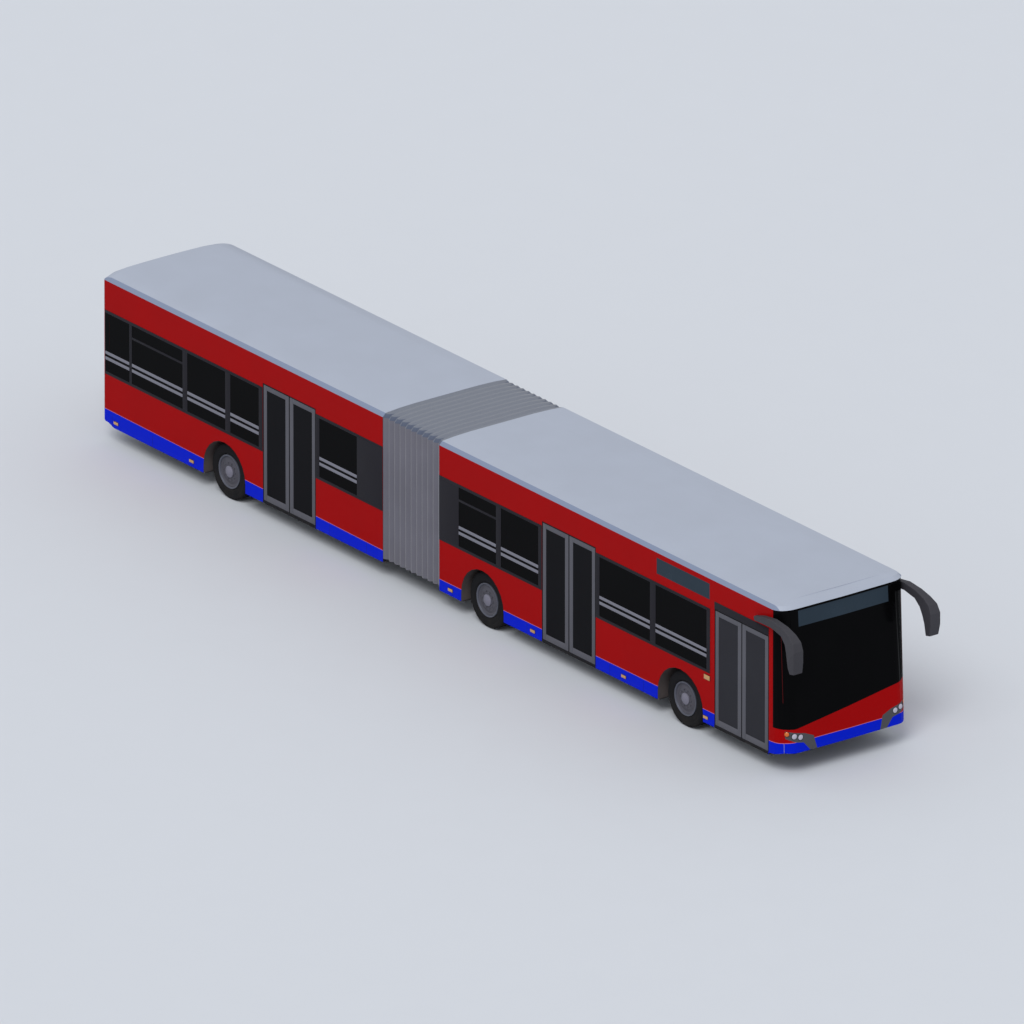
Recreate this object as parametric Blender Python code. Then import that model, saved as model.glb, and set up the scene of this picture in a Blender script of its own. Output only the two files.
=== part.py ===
"""Articulated city bus: two hollow body sections hinged at a turntable under a pleated bellows.

Metres. +X is forward, +Y is the driver's side and +Z is up. The origin lies on the ground under
the middle of the overall length, mirrors included. A distance along the body, named with _D at
its end, is measured backwards from a station in the rounded front, NOSE_REACH behind its tip.
"""
import math
from collections import namedtuple

import bmesh
import bpy
from mathutils import Vector

# Body envelope
BODY_LENGTH = 18.37
BODY_WIDTH = 2.55
SKIRT_Z = 0.30
EAVES_Z = 2.817
ROOF_BEVEL = 0.06
ROOF_CROWN = 0.03
WALL = 0.06
GLASS = 0.012
FLOOR_Z = 0.345
FLOOR_THICKNESS = 0.075

# Clearances and construction allowances
GAP = 0.0003
CLEARANCE = 0.006
OVERRUN = 0.05
JOIN = 0.01

# Front end: how far the face stands ahead of the first station at the skirt and at the eaves,
# where its corners start on the sides, and how wide they are across the body
CORNER_D = 0.20
NOSE_REACH = 0.25
NOSE_TOP_REACH = 0.08
NOSE_CORNER_D = 0.15
NOSE_TOP_CORNER_D = 0.12
NOSE_CORNER_WIDTH = 0.27
NOSE_TOP_CORNER_WIDTH = 0.31
NOSE_BOW = 0.015
NOSE_LOW_Z = 0.335
NOSE_RISE = 0.065
POST_FRONT_D = 0.10
ROOF_LIP = 0.03

# Rear end
TAIL_CORNER = 0.22
TAIL_LEAN = 0.03
TAIL_CORNER_WIDTH = 0.20
TAIL_STRAIGHT = 0.09
TAIL_BOW = 0.01
TAIL_RISE_LENGTH = 0.36
TAIL_RISE = 0.13
CORNER_STEPS = 6

# Places along the body
FRONT_END_D = 8.94
PIVOT_D = 9.70
REAR_START_D = 10.46
MIDDLE_AXLE_D = 7.79
REAR_AXLE_D = 14.745

# Side glazing
BAND_LOW_Z = 1.185
BAND_HIGH_Z = 2.305
WINDOW_FRAME = 0.05

# Doors
DOORWAY_WIDTH = 1.43
MIDDLE_DOOR_D = 5.485
REAR_DOOR_D = 12.98
FRONT_HEADER_Z = 2.34
HEADER_Z = 2.383
LEAF_THICKNESS = 0.04
LEAF_FRAME = 0.098
LEAF_PANE = 0.012
LEAF_POCKET = 0.006
LEAF_MEETING_GAP = 0.012
LEAF_RAIL = 0.105
POST_RADIUS = 0.02
POST_SIDES = 12

# Side display
SIDE_DISPLAY_LENGTH = 1.40
SIDE_DISPLAY_REAR_D = 3.16
SIDE_DISPLAY_LOW_Z = 2.457
SIDE_DISPLAY_HIGH_Z = 2.73
SIDE_DISPLAY_DEPTH = 0.02

# Windscreen, front display and lamps
SCREEN_LOW_Z = 0.80
SCREEN_STEP_Z = 1.14
SCREEN_FLAT = 0.245
DISPLAY_WIDTH = 1.80
DISPLAY_LOW_Z = 2.497
DISPLAY_HIGH_Z = 2.765
DISPLAY_DEPTH = 0.05
LAMP_DEPTH = 0.055

# Tail
REAR_WINDOW_WIDTH = 2.0
REAR_WINDOW_LOW_Z = 1.36
REAR_WINDOW_HIGH_Z = 2.25
LID_WIDTH = 1.50
LID_LOW_Z = 0.62
LID_HIGH_Z = 1.20
LID_THICKNESS = 0.04

# Wheels
TYRE_RADIUS = 0.4785
TYRE_WIDTH = 0.275
TYRE_INSET = 0.09
TWIN_SPACING = 0.05
RIM_RADIUS = 0.286
RIM_THICKNESS = 0.024
HUB_CAP_RADIUS = 0.103
HUB_CAP_PROUD = 0.04
RIM_FACE_DEPTH = 0.03
HUB_SEAT_RADIUS = 0.12
FRONT_HUB_DEPTH = 0.145
TWIN_HUB_DEPTH = 0.30
WHEEL_SEGMENTS = 24

# Wheel arches and housings
FRONT_ARCH_LENGTH = 1.20
FRONT_ARCH_PILLAR = 0.30
REAR_ARCH_LENGTH = 1.14
ARCH_TOP_Z = 1.01
ARCH_SPRING_Z = 0.45
ARCH_STEPS = 12
HOUSING_WALL = 0.03
HOUSING_ROOM = 0.02
STEERING_ROOM = 0.36
TWIN_TYRE_ROOM = 0.105

# Axles and steering
AXLE_DEPTH = 0.11
AXLE_BREADTH = 0.12
KINGPIN_INSET = 0.285
KNUCKLE_RADIUS = 0.045
KNUCKLE_HEIGHT = 0.18
KNUCKLE_SIDES = 16
LUG_THICKNESS = 0.06
STUB_RADIUS = 0.07
UPRIGHT_THICKNESS = 0.08

# Turntable and bellows
TURNTABLE_RADIUS = 0.60
TURNTABLE_SIDES = 40
TURNTABLE_THICKNESS = 0.08
TURNTABLE_ARM_WIDTH = 0.90
TURNTABLE_LAP = 0.20
HORN_WIDTH = 1.24
HORN_REACH = 0.15
BELLOWS_LOW_Z = 0.36
BELLOWS_INSET = 0.004
PLEAT_COUNT = 16
PLEAT_DEPTH = 0.03
BELLOWS_THICKNESS = 0.03

# Mirrors
MIRROR_ROOT_D = 0.52
MIRROR_REACH = 0.455
MIRROR_OUTREACH = 0.20
MIRROR_LOW_Z = 1.965
MIRROR_HEIGHT = 0.735

# Interior
SEAT_LENGTH = 0.62
SEAT_HEIGHT = 1.02
SEAT_WIDTH = 0.84
SEAT_PITCH = 0.82
SEAT_RAIL = 0.05
SEAT_WALL_ROOM = 0.03
DRIVER_SEAT_D = 1.45
DRIVER_SEAT_WIDTH = 0.52
DRIVER_SEAT_INSET = 0.655
DRIVER_PLINTH = 0.22
DASH_D = 0.72
DASH_LENGTH = 0.36
DASH_HEIGHT = 0.72
DASH_WIDTH = 1.335
PARTITION_OFFSET = 0.15
PARTITION_THICKNESS = 0.03
PARTITION_HEIGHT = 1.75
PARTITION_WIDTH = 1.015
ENGINE_LENGTH = 1.05
ENGINE_WIDTH = 1.30
ENGINE_HEIGHT = 0.80
ENGINE_FRONT_D = 16.72

# Values worked out from the sizes above
HALF_WIDTH = BODY_WIDTH / 2
NOSE_X = (BODY_LENGTH - MIRROR_REACH) / 2
FRONT_X = NOSE_X - NOSE_REACH
REAR_X = NOSE_X - BODY_LENGTH
INNER_Y = HALF_WIDTH - WALL
FLOOR_LOW_Z = FLOOR_Z - FLOOR_THICKNESS
AXLE_Z = TYRE_RADIUS * math.cos(math.pi / WHEEL_SEGMENTS)
TYRE_FACE_Y = HALF_WIDTH - TYRE_INSET
KINGPIN_Y = TYRE_FACE_Y - KINGPIN_INSET
FRONT_HOUSING_DEPTH = TYRE_INSET + TYRE_WIDTH + STEERING_ROOM
TWIN_HOUSING_DEPTH = TYRE_INSET + 2 * TYRE_WIDTH + TWIN_SPACING + TWIN_TYRE_ROOM
FRONT_DOOR_D = CORNER_D + DOORWAY_WIDTH / 2
FRONT_AXLE_D = CORNER_D + DOORWAY_WIDTH + FRONT_ARCH_PILLAR + FRONT_ARCH_LENGTH / 2
PARTITION_D = CORNER_D + DOORWAY_WIDTH + PARTITION_OFFSET
DRIVER_SEAT_Y = HALF_WIDTH - DRIVER_SEAT_INSET
RIGHT = -1
LEFT = 1

# The outline of one end in plan at one height: from the wall's end straight on, then round a
# quarter of an ellipse, then across the face. All lengths are measured from the wall's end.
Plan = namedtuple("Plan", "straight reach corner_width")
End = namedtuple("End", "edge_x forward bow low high")
FRONT_SHELL = End(FRONT_X - CORNER_D, 1, NOSE_BOW,
                  Plan(CORNER_D - NOSE_CORNER_D, CORNER_D + NOSE_REACH, NOSE_CORNER_WIDTH),
                  Plan(CORNER_D - NOSE_TOP_CORNER_D, CORNER_D + NOSE_TOP_REACH, NOSE_TOP_CORNER_WIDTH))
TAIL_SHELL = End(REAR_X + TAIL_CORNER, -1, TAIL_BOW,
                 Plan(TAIL_STRAIGHT, TAIL_CORNER, TAIL_CORNER_WIDTH),
                 Plan(TAIL_STRAIGHT, TAIL_CORNER - TAIL_LEAN, TAIL_CORNER_WIDTH))

FRONT_EAVES = FRONT_SHELL._replace(high=FRONT_SHELL.high._replace(reach=FRONT_SHELL.high.reach + ROOF_LIP))

Door = namedtuple("Door", "name centre_d header_z")
DOORS = (
    Door("front_door", FRONT_DOOR_D, FRONT_HEADER_Z),
    Door("middle_door", MIDDLE_DOOR_D, HEADER_Z),
    Door("rear_door", REAR_DOOR_D, HEADER_Z),
)

Axle = namedtuple("Axle", "name centre_d arch_length housing_y tyres hub_depth")
AXLES = (
    Axle("front", FRONT_AXLE_D, FRONT_ARCH_LENGTH, HALF_WIDTH - FRONT_HOUSING_DEPTH, 1, FRONT_HUB_DEPTH),
    Axle("middle", MIDDLE_AXLE_D, REAR_ARCH_LENGTH, HALF_WIDTH - TWIN_HOUSING_DEPTH, 2, TWIN_HUB_DEPTH),
    Axle("rear", REAR_AXLE_D, REAR_ARCH_LENGTH, HALF_WIDTH - TWIN_HOUSING_DEPTH, 2, TWIN_HUB_DEPTH),
)

# Windows of each glazed panel, as shares of the length of its bay, counted from the bay's front
# end: where each window starts and where it ends. A bay runs between doorways or a wall's ends.
FRONT_RIGHT_REAR_SHARES = ((0.0335, 0.3972), (0.4450, 0.8086))
FRONT_RIGHT_FRONT_SHARES = ((0.0652, 0.4938), (0.5411, 0.9670))
FRONT_LEFT_SHARES = (
    (0.030, 0.162), (0.187, 0.341), (0.358, 0.511), (0.526, 0.682), (0.697, 0.811), (0.826, 0.940),
)
REAR_RIGHT_FRONT_SHARES = ((0.3833, 0.9397),)
REAR_RIGHT_REAR_SHARES = ((0.0251, 0.2073), (0.2409, 0.4851), (0.5170, 0.8443), (0.8620, 0.9823))
REAR_LEFT_SHARES = (
    (0.093, 0.228), (0.246, 0.431), (0.449, 0.552), (0.571, 0.709), (0.727, 0.912), (0.922, 0.990),
)

Panel = namedtuple("Panel", "name bay window_shares")
Wall = namedtuple("Wall", "name side start_d end_d panels doors axles displays")
FRONT_WALL_ENDS = (CORNER_D + GAP, FRONT_END_D)
REAR_WALL_ENDS = (REAR_START_D, FRONT_X - REAR_X - TAIL_CORNER - GAP)
HALF_DOORWAY = DOORWAY_WIDTH / 2
FRONT_BAY = (FRONT_DOOR_D + HALF_DOORWAY, MIDDLE_DOOR_D - HALF_DOORWAY)
MIDDLE_BAY = (MIDDLE_DOOR_D + HALF_DOORWAY, FRONT_WALL_ENDS[1])
JOINT_BAY = (REAR_WALL_ENDS[0], REAR_DOOR_D - HALF_DOORWAY)
TAIL_BAY = (REAR_DOOR_D + HALF_DOORWAY, REAR_WALL_ENDS[1])
WALLS = (
    Wall("front_right_wall", RIGHT, *FRONT_WALL_ENDS,
         (Panel("front_right_glazing_a", FRONT_BAY, FRONT_RIGHT_FRONT_SHARES),
          Panel("front_right_glazing_b", MIDDLE_BAY, FRONT_RIGHT_REAR_SHARES)),
         DOORS[:2], AXLES[:2], 1),
    Wall("front_left_wall", LEFT, *FRONT_WALL_ENDS,
         (Panel("front_left_glazing", FRONT_WALL_ENDS, FRONT_LEFT_SHARES),), (), AXLES[:2], 0),
    Wall("rear_right_wall", RIGHT, *REAR_WALL_ENDS,
         (Panel("rear_right_glazing_a", JOINT_BAY, REAR_RIGHT_FRONT_SHARES),
          Panel("rear_right_glazing_b", TAIL_BAY, REAR_RIGHT_REAR_SHARES)),
         DOORS[2:], AXLES[2:], 0),
    Wall("rear_left_wall", LEFT, *REAR_WALL_ENDS,
         (Panel("rear_left_glazing", REAR_WALL_ENDS, REAR_LEFT_SHARES),), (), AXLES[2:], 0),
)

# Lamp cluster outline: shares of the half width outwards from the middle, and shares of the
# height from the nose's low edge to the low edge of the windscreen. The strip runs down past it.
LAMP_OUTLINE_SHARES = (
    (0.929, 0.94), (0.678, 0.785), (0.543, 0.626), (0.492, 0.10), (0.478, -0.20),
    (0.572, -0.20), (0.590, 0.10), (0.700, 0.460), (0.806, 0.518), (0.929, 0.665),
)

# Double seat seen from its side, facing forward: shares of its length and of its height
SEAT_OUTLINE_SHARES = (
    (0.18, 0.0), (0.62, 0.0), (0.62, 0.36), (1.0, 0.38), (1.0, 0.46),
    (0.27, 0.44), (0.14, 1.0), (0.0, 1.0), (0.08, 0.36), (0.18, 0.36),
)

# The mirror is one horn whose inner face lies along the body's side. At each station: its outer
# edge's and its inner edge's place, as shares of the length from root to tip and of the height,
# and its width as a share of the outreach.
MirrorStation = namedtuple("MirrorStation", "outer_ahead outer_up inner_ahead inner_up width")
MIRROR_SHARES = (
    MirrorStation(0.0, 0.860, 0.01, 0.760, 0.35),
    MirrorStation(0.200, 0.955, 0.205, 0.800, 0.52),
    MirrorStation(0.440, 1.0, 0.430, 0.820, 0.60),
    MirrorStation(0.675, 0.946, 0.650, 0.750, 0.66),
    MirrorStation(0.845, 0.853, 0.755, 0.610, 0.76),
    MirrorStation(0.955, 0.735, 0.815, 0.440, 0.90),
    MirrorStation(1.0, 0.550, 0.855, 0.270, 1.0),
    MirrorStation(1.0, 0.280, 0.875, 0.120, 1.0),
    MirrorStation(0.980, 0.030, 0.890, 0.0, 0.90),
)

SeatRow = namedtuple("SeatRow", "name side front_d count")
SEAT_ROWS = (
    SeatRow("front_left_seats", LEFT, FRONT_AXLE_D + FRONT_ARCH_LENGTH, 4),
    SeatRow("front_right_seats", RIGHT, FRONT_AXLE_D + FRONT_ARCH_LENGTH, 1),
    SeatRow("rear_left_seats", LEFT, REAR_START_D + SEAT_LENGTH / 2, 4),
    SeatRow("rear_right_seats", RIGHT, REAR_AXLE_D + REAR_ARCH_LENGTH, 1),
)

Finish = namedtuple("Finish", "colour roughness metallic")
RED_PAINT = Finish((0.59, 0.07, 0.08), 0.35, 0.0)
ROOF_PAINT = Finish((0.66, 0.69, 0.74), 0.45, 0.0)
DARK_GLASS = Finish((0.06, 0.06, 0.07), 0.08, 0.0)
DARK_PLASTIC = Finish((0.16, 0.16, 0.17), 0.5, 0.0)
DISPLAY_GLASS = Finish((0.18, 0.23, 0.27), 0.2, 0.0)
LAMP_GREY = Finish((0.27, 0.27, 0.28), 0.3, 0.2)
DOOR_METAL = Finish((0.31, 0.31, 0.34), 0.4, 0.5)
FLOOR_GREY = Finish((0.30, 0.30, 0.31), 0.7, 0.0)
BELLOWS_GREY = Finish((0.42, 0.43, 0.47), 0.8, 0.0)
TYRE_BLACK = Finish((0.13, 0.13, 0.14), 0.8, 0.0)
RIM_METAL = Finish((0.38, 0.38, 0.42), 0.4, 0.7)
AXLE_METAL = Finish((0.20, 0.20, 0.21), 0.55, 0.7)
SEAT_BLUE = Finish((0.12, 0.17, 0.36), 0.85, 0.0)
ENGINE_METAL = Finish((0.35, 0.36, 0.37), 0.5, 0.8)


def clear_scene():
    for item in list(bpy.data.objects):
        bpy.data.objects.remove(item, do_unlink=True)


def x_at(distance):
    return FRONT_X - distance


def linear(channel):
    """The linear value of one colour channel that is given as it looks on a screen."""
    return ((channel + 0.055) / 1.055) ** 2.4 if channel > 0.04045 else channel / 12.92


def material(name, finish):
    made = bpy.data.materials.new(name)
    made.use_nodes = True
    shader = made.node_tree.nodes["Principled BSDF"]
    shader.inputs["Base Color"].default_value = (*[linear(c) for c in finish.colour], 1.0)
    shader.inputs["Roughness"].default_value = finish.roughness
    shader.inputs["Metallic"].default_value = finish.metallic
    return made


def solid(name, bm, finish, origin=(0.0, 0.0, 0.0), smooth=False):
    """Turn a closed mesh in world coordinates into a named object with its origin at a point."""
    bmesh.ops.recalc_face_normals(bm, faces=bm.faces[:])
    bmesh.ops.translate(bm, verts=bm.verts[:], vec=-Vector(origin))
    mesh = bpy.data.meshes.new(name)
    bm.to_mesh(mesh)
    bm.free()
    made = bpy.data.objects.new(name, mesh)
    bpy.context.collection.objects.link(made)
    made.location = origin
    made.data.materials.append(material(name, finish))
    if smooth:
        mesh.shade_smooth()
        mesh.set_sharp_from_angle(angle=math.radians(35))
    return made


def guide(name, bm):
    """A shape that only cuts, joins or trims another one."""
    made = solid(name, bm, DARK_PLASTIC)
    made.hide_render = True
    made.display_type = "WIRE"
    return made


def combine(target, bm, operation):
    """Cut, join or trim an object with a closed shape, kept as a hidden guide."""
    step = target.modifiers.new(operation.lower(), "BOOLEAN")
    step.operation = operation
    step.solver = "EXACT"
    step.object = guide(f"{target.name}_{operation.lower()}_{len(target.modifiers)}", bm)


def loft(bm, rings, capped=True):
    """Join rings of points with quads, and close both ends with a face."""
    made = []
    for ring in rings:
        made.append([bm.verts.new(point) for point in ring])
    for lower, upper in zip(made, made[1:]):
        for index in range(len(lower)):
            after = (index + 1) % len(lower)
            bm.faces.new((lower[index], lower[after], upper[after], upper[index]))
    if capped:
        bm.faces.new(made[0])
        bm.faces.new(made[-1])


def box(bm, low, high):
    corners = ((low[0], low[1]), (high[0], low[1]), (high[0], high[1]), (low[0], high[1]))
    rings = []
    for level in (low[2], high[2]):
        rings.append([(x, y, level) for x, y in corners])
    loft(bm, rings)


def sided_box(bm, side, x_range, y_range, z_range):
    """A box whose two distances from the middle plane lie on one side of the body."""
    edges = sorted(side * y for y in y_range)
    box(bm, (x_range[0], edges[0], z_range[0]), (x_range[1], edges[1], z_range[1]))


def across(bm, outline, low_y, high_y):
    """Extrude an outline of (x, z) points across the body."""
    loft(bm, [[(x, level, z) for x, z in outline] for level in (low_y, high_y)])


def along(bm, outline, low_x, high_x):
    """Extrude an outline of (y, z) points along the body."""
    loft(bm, [[(level, y, z) for y, z in outline] for level in (low_x, high_x)])


def upright(bm, centre_x, centre_y, radius, low_z, high_z, sides):
    """A vertical round bar or disc."""
    rings = []
    for level in (low_z, high_z):
        ring = []
        for index in range(sides):
            angle = 2 * math.pi * index / sides
            ring.append((centre_x + radius * math.cos(angle), centre_y + radius * math.sin(angle), level))
        rings.append(ring)
    loft(bm, rings)


def stub(bm, centre_x, centre_z, radius, low_y, high_y, sides):
    """A round bar across the body."""
    rings = []
    for level in (low_y, high_y):
        ring = []
        for index in range(sides):
            angle = 2 * math.pi * index / sides
            ring.append((centre_x + radius * math.cos(angle), level, centre_z + radius * math.sin(angle)))
        rings.append(ring)
    loft(bm, rings)


def turned(bm, profile, axle_x, side, segments):
    """Turn a profile of (radius, depth inwards from the tyre's outer face) about an axle line."""
    rows = []
    for radius, depth in profile:
        y = side * (TYRE_FACE_Y - depth)
        if radius == 0:
            rows.append([bm.verts.new((axle_x, y, AXLE_Z))])
            continue
        row = []
        for index in range(segments):
            angle = 2 * math.pi * (index + 0.5) / segments - math.pi / 2
            row.append(bm.verts.new((axle_x + radius * math.cos(angle), y, AXLE_Z + radius * math.sin(angle))))
        rows.append(row)
    pairs = list(zip(rows, rows[1:]))
    if len(rows[0]) > 1:
        pairs.append((rows[-1], rows[0]))
    for first, second in pairs:
        for index in range(segments):
            after = (index + 1) % segments
            if len(first) == 1:
                bm.faces.new((first[0], second[after], second[index]))
            elif len(second) == 1:
                bm.faces.new((first[index], first[after], second[0]))
            else:
                bm.faces.new((first[index], first[after], second[after], second[index]))


def grown(outline, amount):
    """Move each edge of an outline outwards by an amount, or inwards by a negative one."""
    area = 0.0
    for (x1, y1), (x2, y2) in zip(outline, outline[1:] + outline[:1]):
        area += x1 * y2 - x2 * y1
    turn = 1.0 if area > 0 else -1.0
    moved = []
    for index, point in enumerate(outline):
        here = Vector(point)
        before = (here - Vector(outline[index - 1])).normalized()
        after = (Vector(outline[(index + 1) % len(outline)]) - here).normalized()
        first = Vector((before.y, -before.x)) * turn
        second = Vector((after.y, -after.x)) * turn
        shift = (first + second) / (1 + first.dot(second))
        moved.append(tuple(here + shift * amount))
    return moved


def rectangle(low_u, high_u, low_v, high_v):
    return [(low_u, low_v), (high_u, low_v), (high_u, high_v), (low_u, high_v)]


def plan_point(end, step, z, inset):
    """A point on the rounded end of the body, one step of the way from the left side to the right."""
    share = (z - SKIRT_Z) / (EAVES_Z - SKIRT_Z)
    straight, reach, corner_width = [
        low + (high - low) * share for low, high in zip(end.low, end.high)
    ]
    half = HALF_WIDTH - inset
    side = 1 if step < 0 else -1
    place = CORNER_STEPS + 2 - abs(step)
    if place == 0:
        depth, y = 0.0, half
    elif place == CORNER_STEPS + 2:
        depth, y = reach - inset, 0.0
    else:
        angle = math.pi / 2 * (place - 1) / CORNER_STEPS
        corner_depth = reach - end.bow - straight - inset
        depth = straight + corner_depth * math.sin(angle)
        y = half - (corner_width - inset) * (1 - math.cos(angle))
    return (end.edge_x + end.forward * depth, side * y, z)


def plan_steps():
    return range(-CORNER_STEPS - 2, CORNER_STEPS + 3)


def nose_rise(step):
    """How far the nose's low edge rises at one step, as a share of the whole rise."""
    return math.cos(math.pi / 2 * abs(step) / (CORNER_STEPS + 2)) ** 2


def end_shell(end, outer_inset, inner_inset, low_z, high_z, rise=0.0):
    """The wall round one end of the body, its low edge rising towards the middle of the face."""
    bm = bmesh.new()
    rings = []
    for step in plan_steps():
        low = low_z + rise * min(1.0, 2 * nose_rise(step))
        rings.append([
            plan_point(end, step, low, outer_inset),
            plan_point(end, step, high_z, outer_inset),
            plan_point(end, step, high_z, inner_inset),
            plan_point(end, step, low, inner_inset),
        ])
    loft(bm, rings)
    bmesh.ops.triangulate(bm, faces=bm.faces[:])
    return bm


def end_prism(end, outline, near_x=None):
    """A bar along the body, through the end's wall and past it."""
    bm = bmesh.new()
    near = end.edge_x - end.forward * WALL if near_x is None else near_x
    far = end.edge_x + end.forward * (end.low.reach + OVERRUN)
    along(bm, outline, min(near, far), max(near, far))
    return bm


def screen_outline():
    """The windscreen's edge from the front: low at the door side, higher at the driver's side."""
    top_z = EAVES_Z + OVERRUN
    edge = HALF_WIDTH + OVERRUN
    return [
        (-edge, SCREEN_LOW_Z), (-HALF_WIDTH + SCREEN_FLAT, SCREEN_LOW_Z),
        (edge, SCREEN_STEP_Z), (edge, top_z), (-edge, top_z),
    ]


def screen_prism(gap):
    """Everything ahead of the corner posts and above the nose, with a gap all round."""
    return end_prism(FRONT_SHELL, grown(screen_outline(), gap), x_at(POST_FRONT_D) - gap)


def lamp_outline(side):
    height = SCREEN_LOW_Z - NOSE_LOW_Z
    points = []
    for across_share, height_share in LAMP_OUTLINE_SHARES:
        points.append((side * HALF_WIDTH * across_share, NOSE_LOW_Z + height * height_share))
    return points


def display_outline():
    return rectangle(-DISPLAY_WIDTH / 2, DISPLAY_WIDTH / 2, DISPLAY_LOW_Z, DISPLAY_HIGH_Z)


def front_shell(inner_inset):
    return end_shell(FRONT_SHELL, 0.0, inner_inset, NOSE_LOW_Z, EAVES_Z - GAP, NOSE_RISE)


def build_nose():
    nose = solid("nose", front_shell(WALL), RED_PAINT, smooth=True)
    combine(nose, screen_prism(GAP), "DIFFERENCE")
    for side in (RIGHT, LEFT):
        combine(nose, end_prism(FRONT_SHELL, grown(lamp_outline(side), GAP)), "DIFFERENCE")


def build_windscreen():
    screen = solid("windscreen", front_shell(GLASS), DARK_GLASS, smooth=True)
    combine(screen, screen_prism(0.0), "INTERSECT")
    combine(screen, end_prism(FRONT_SHELL, grown(display_outline(), GAP)), "DIFFERENCE")


def build_front_display():
    display = solid("front_display", front_shell(DISPLAY_DEPTH), DISPLAY_GLASS)
    combine(display, end_prism(FRONT_SHELL, display_outline()), "INTERSECT")


def build_headlamps():
    for name, side in (("headlamp_right", RIGHT), ("headlamp_left", LEFT)):
        lamp = solid(name, front_shell(LAMP_DEPTH), LAMP_GREY)
        combine(lamp, end_prism(FRONT_SHELL, lamp_outline(side)), "INTERSECT")


def tail_low_z():
    """The height of the tail's low edge where the side walls end."""
    return SKIRT_Z + TAIL_RISE * (TAIL_RISE_LENGTH - TAIL_CORNER) / TAIL_RISE_LENGTH


def rear_window_outline():
    half = REAR_WINDOW_WIDTH / 2
    return rectangle(-half, half, REAR_WINDOW_LOW_Z, REAR_WINDOW_HIGH_Z)


def build_tail():
    rise = SKIRT_Z + TAIL_RISE - tail_low_z()
    tail = solid("tail", end_shell(TAIL_SHELL, 0.0, WALL, tail_low_z(), EAVES_Z - GAP, rise), RED_PAINT,
                 smooth=True)
    combine(tail, end_prism(TAIL_SHELL, grown(rear_window_outline(), GAP)), "DIFFERENCE")
    half = LID_WIDTH / 2 + CLEARANCE
    combine(tail, end_prism(TAIL_SHELL, rectangle(-half, half, LID_LOW_Z - CLEARANCE, LID_HIGH_Z + GAP)),
            "DIFFERENCE")


def build_rear_window():
    window = solid("rear_window", end_shell(TAIL_SHELL, 0.0, GLASS, SKIRT_Z, EAVES_Z - GAP), DARK_GLASS)
    combine(window, end_prism(TAIL_SHELL, rear_window_outline()), "INTERSECT")


def lid_hinge():
    """The middle of the engine lid's hinge line, at the outer face of its top edge."""
    return plan_point(TAIL_SHELL, 0, LID_HIGH_Z, 0.0)


def build_engine_lid():
    lid = solid("engine_lid", end_shell(TAIL_SHELL, 0.0, LID_THICKNESS, SKIRT_Z, EAVES_Z - GAP), RED_PAINT,
                origin=lid_hinge())
    half = LID_WIDTH / 2
    combine(lid, end_prism(TAIL_SHELL, rectangle(-half, half, LID_LOW_Z, LID_HIGH_Z)), "INTERSECT")


def roof_outline(end, end_x, inset, z):
    """The roof's edge in plan at one height: square at the bellows, rounded at the body's end."""
    corner = min(end.high.reach - end.bow - end.high.straight, end.high.corner_width)
    end_inset = min(inset, corner - JOIN)
    points = [(end_x, HALF_WIDTH - inset, z)]
    for step in plan_steps():
        x, y, _ = plan_point(end, step, EAVES_Z, end_inset)
        points.append((x, y * (HALF_WIDTH - inset) / (HALF_WIDTH - end_inset), z))
    points.append((end_x, inset - HALF_WIDTH, z))
    return points


def build_roof(name, end, end_x):
    bevel_z = EAVES_Z + ROOF_BEVEL
    rings = [
        roof_outline(end, end_x, 0.0, EAVES_Z),
        roof_outline(end, end_x, ROOF_BEVEL, bevel_z),
        roof_outline(end, end_x, HALF_WIDTH / 4, bevel_z + ROOF_CROWN * 2 / 3),
        roof_outline(end, end_x, HALF_WIDTH / 2, bevel_z + ROOF_CROWN),
    ]
    bm = bmesh.new()
    loft(bm, rings)
    solid(name, bm, ROOF_PAINT, smooth=True)


def wall_outline(wall):
    """The wall's edge from the side; the tail end rises at its low corner."""
    front_x = x_at(wall.start_d)
    rear_x = x_at(wall.end_d)
    top_z = EAVES_Z - GAP
    if wall.end_d < FRONT_END_D + WALL:
        return rectangle(rear_x, front_x, SKIRT_Z, top_z)
    return [(REAR_X + TAIL_RISE_LENGTH, SKIRT_Z), (front_x, SKIRT_Z), (front_x, top_z), (rear_x, top_z),
            (rear_x, tail_low_z())]


def arch_outline(axle):
    centre = x_at(axle.centre_d)
    half = axle.arch_length / 2
    low_z = SKIRT_Z - OVERRUN
    points = [(centre - half, low_z)]
    for step in range(ARCH_STEPS + 1):
        angle = math.pi * (1 - step / ARCH_STEPS)
        rise = (ARCH_TOP_Z - ARCH_SPRING_Z) * math.sin(angle)
        points.append((centre + half * math.cos(angle), ARCH_SPRING_Z + rise))
    points.append((centre + half, low_z))
    return points


def place_along(bay, share):
    return x_at(bay[0] + share * (bay[1] - bay[0]))


def panel_ends(wall, panel):
    """Where a glazed panel starts and ends along the body, its frames included."""
    front_x = place_along(panel.bay, panel.window_shares[0][0]) + WINDOW_FRAME
    rear_x = place_along(panel.bay, panel.window_shares[-1][1]) - WINDOW_FRAME
    return max(rear_x, x_at(wall.end_d) + GAP + WINDOW_FRAME / 4), front_x


def side_display_ends():
    rear_x = x_at(SIDE_DISPLAY_REAR_D)
    return rear_x, rear_x + SIDE_DISPLAY_LENGTH


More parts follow.
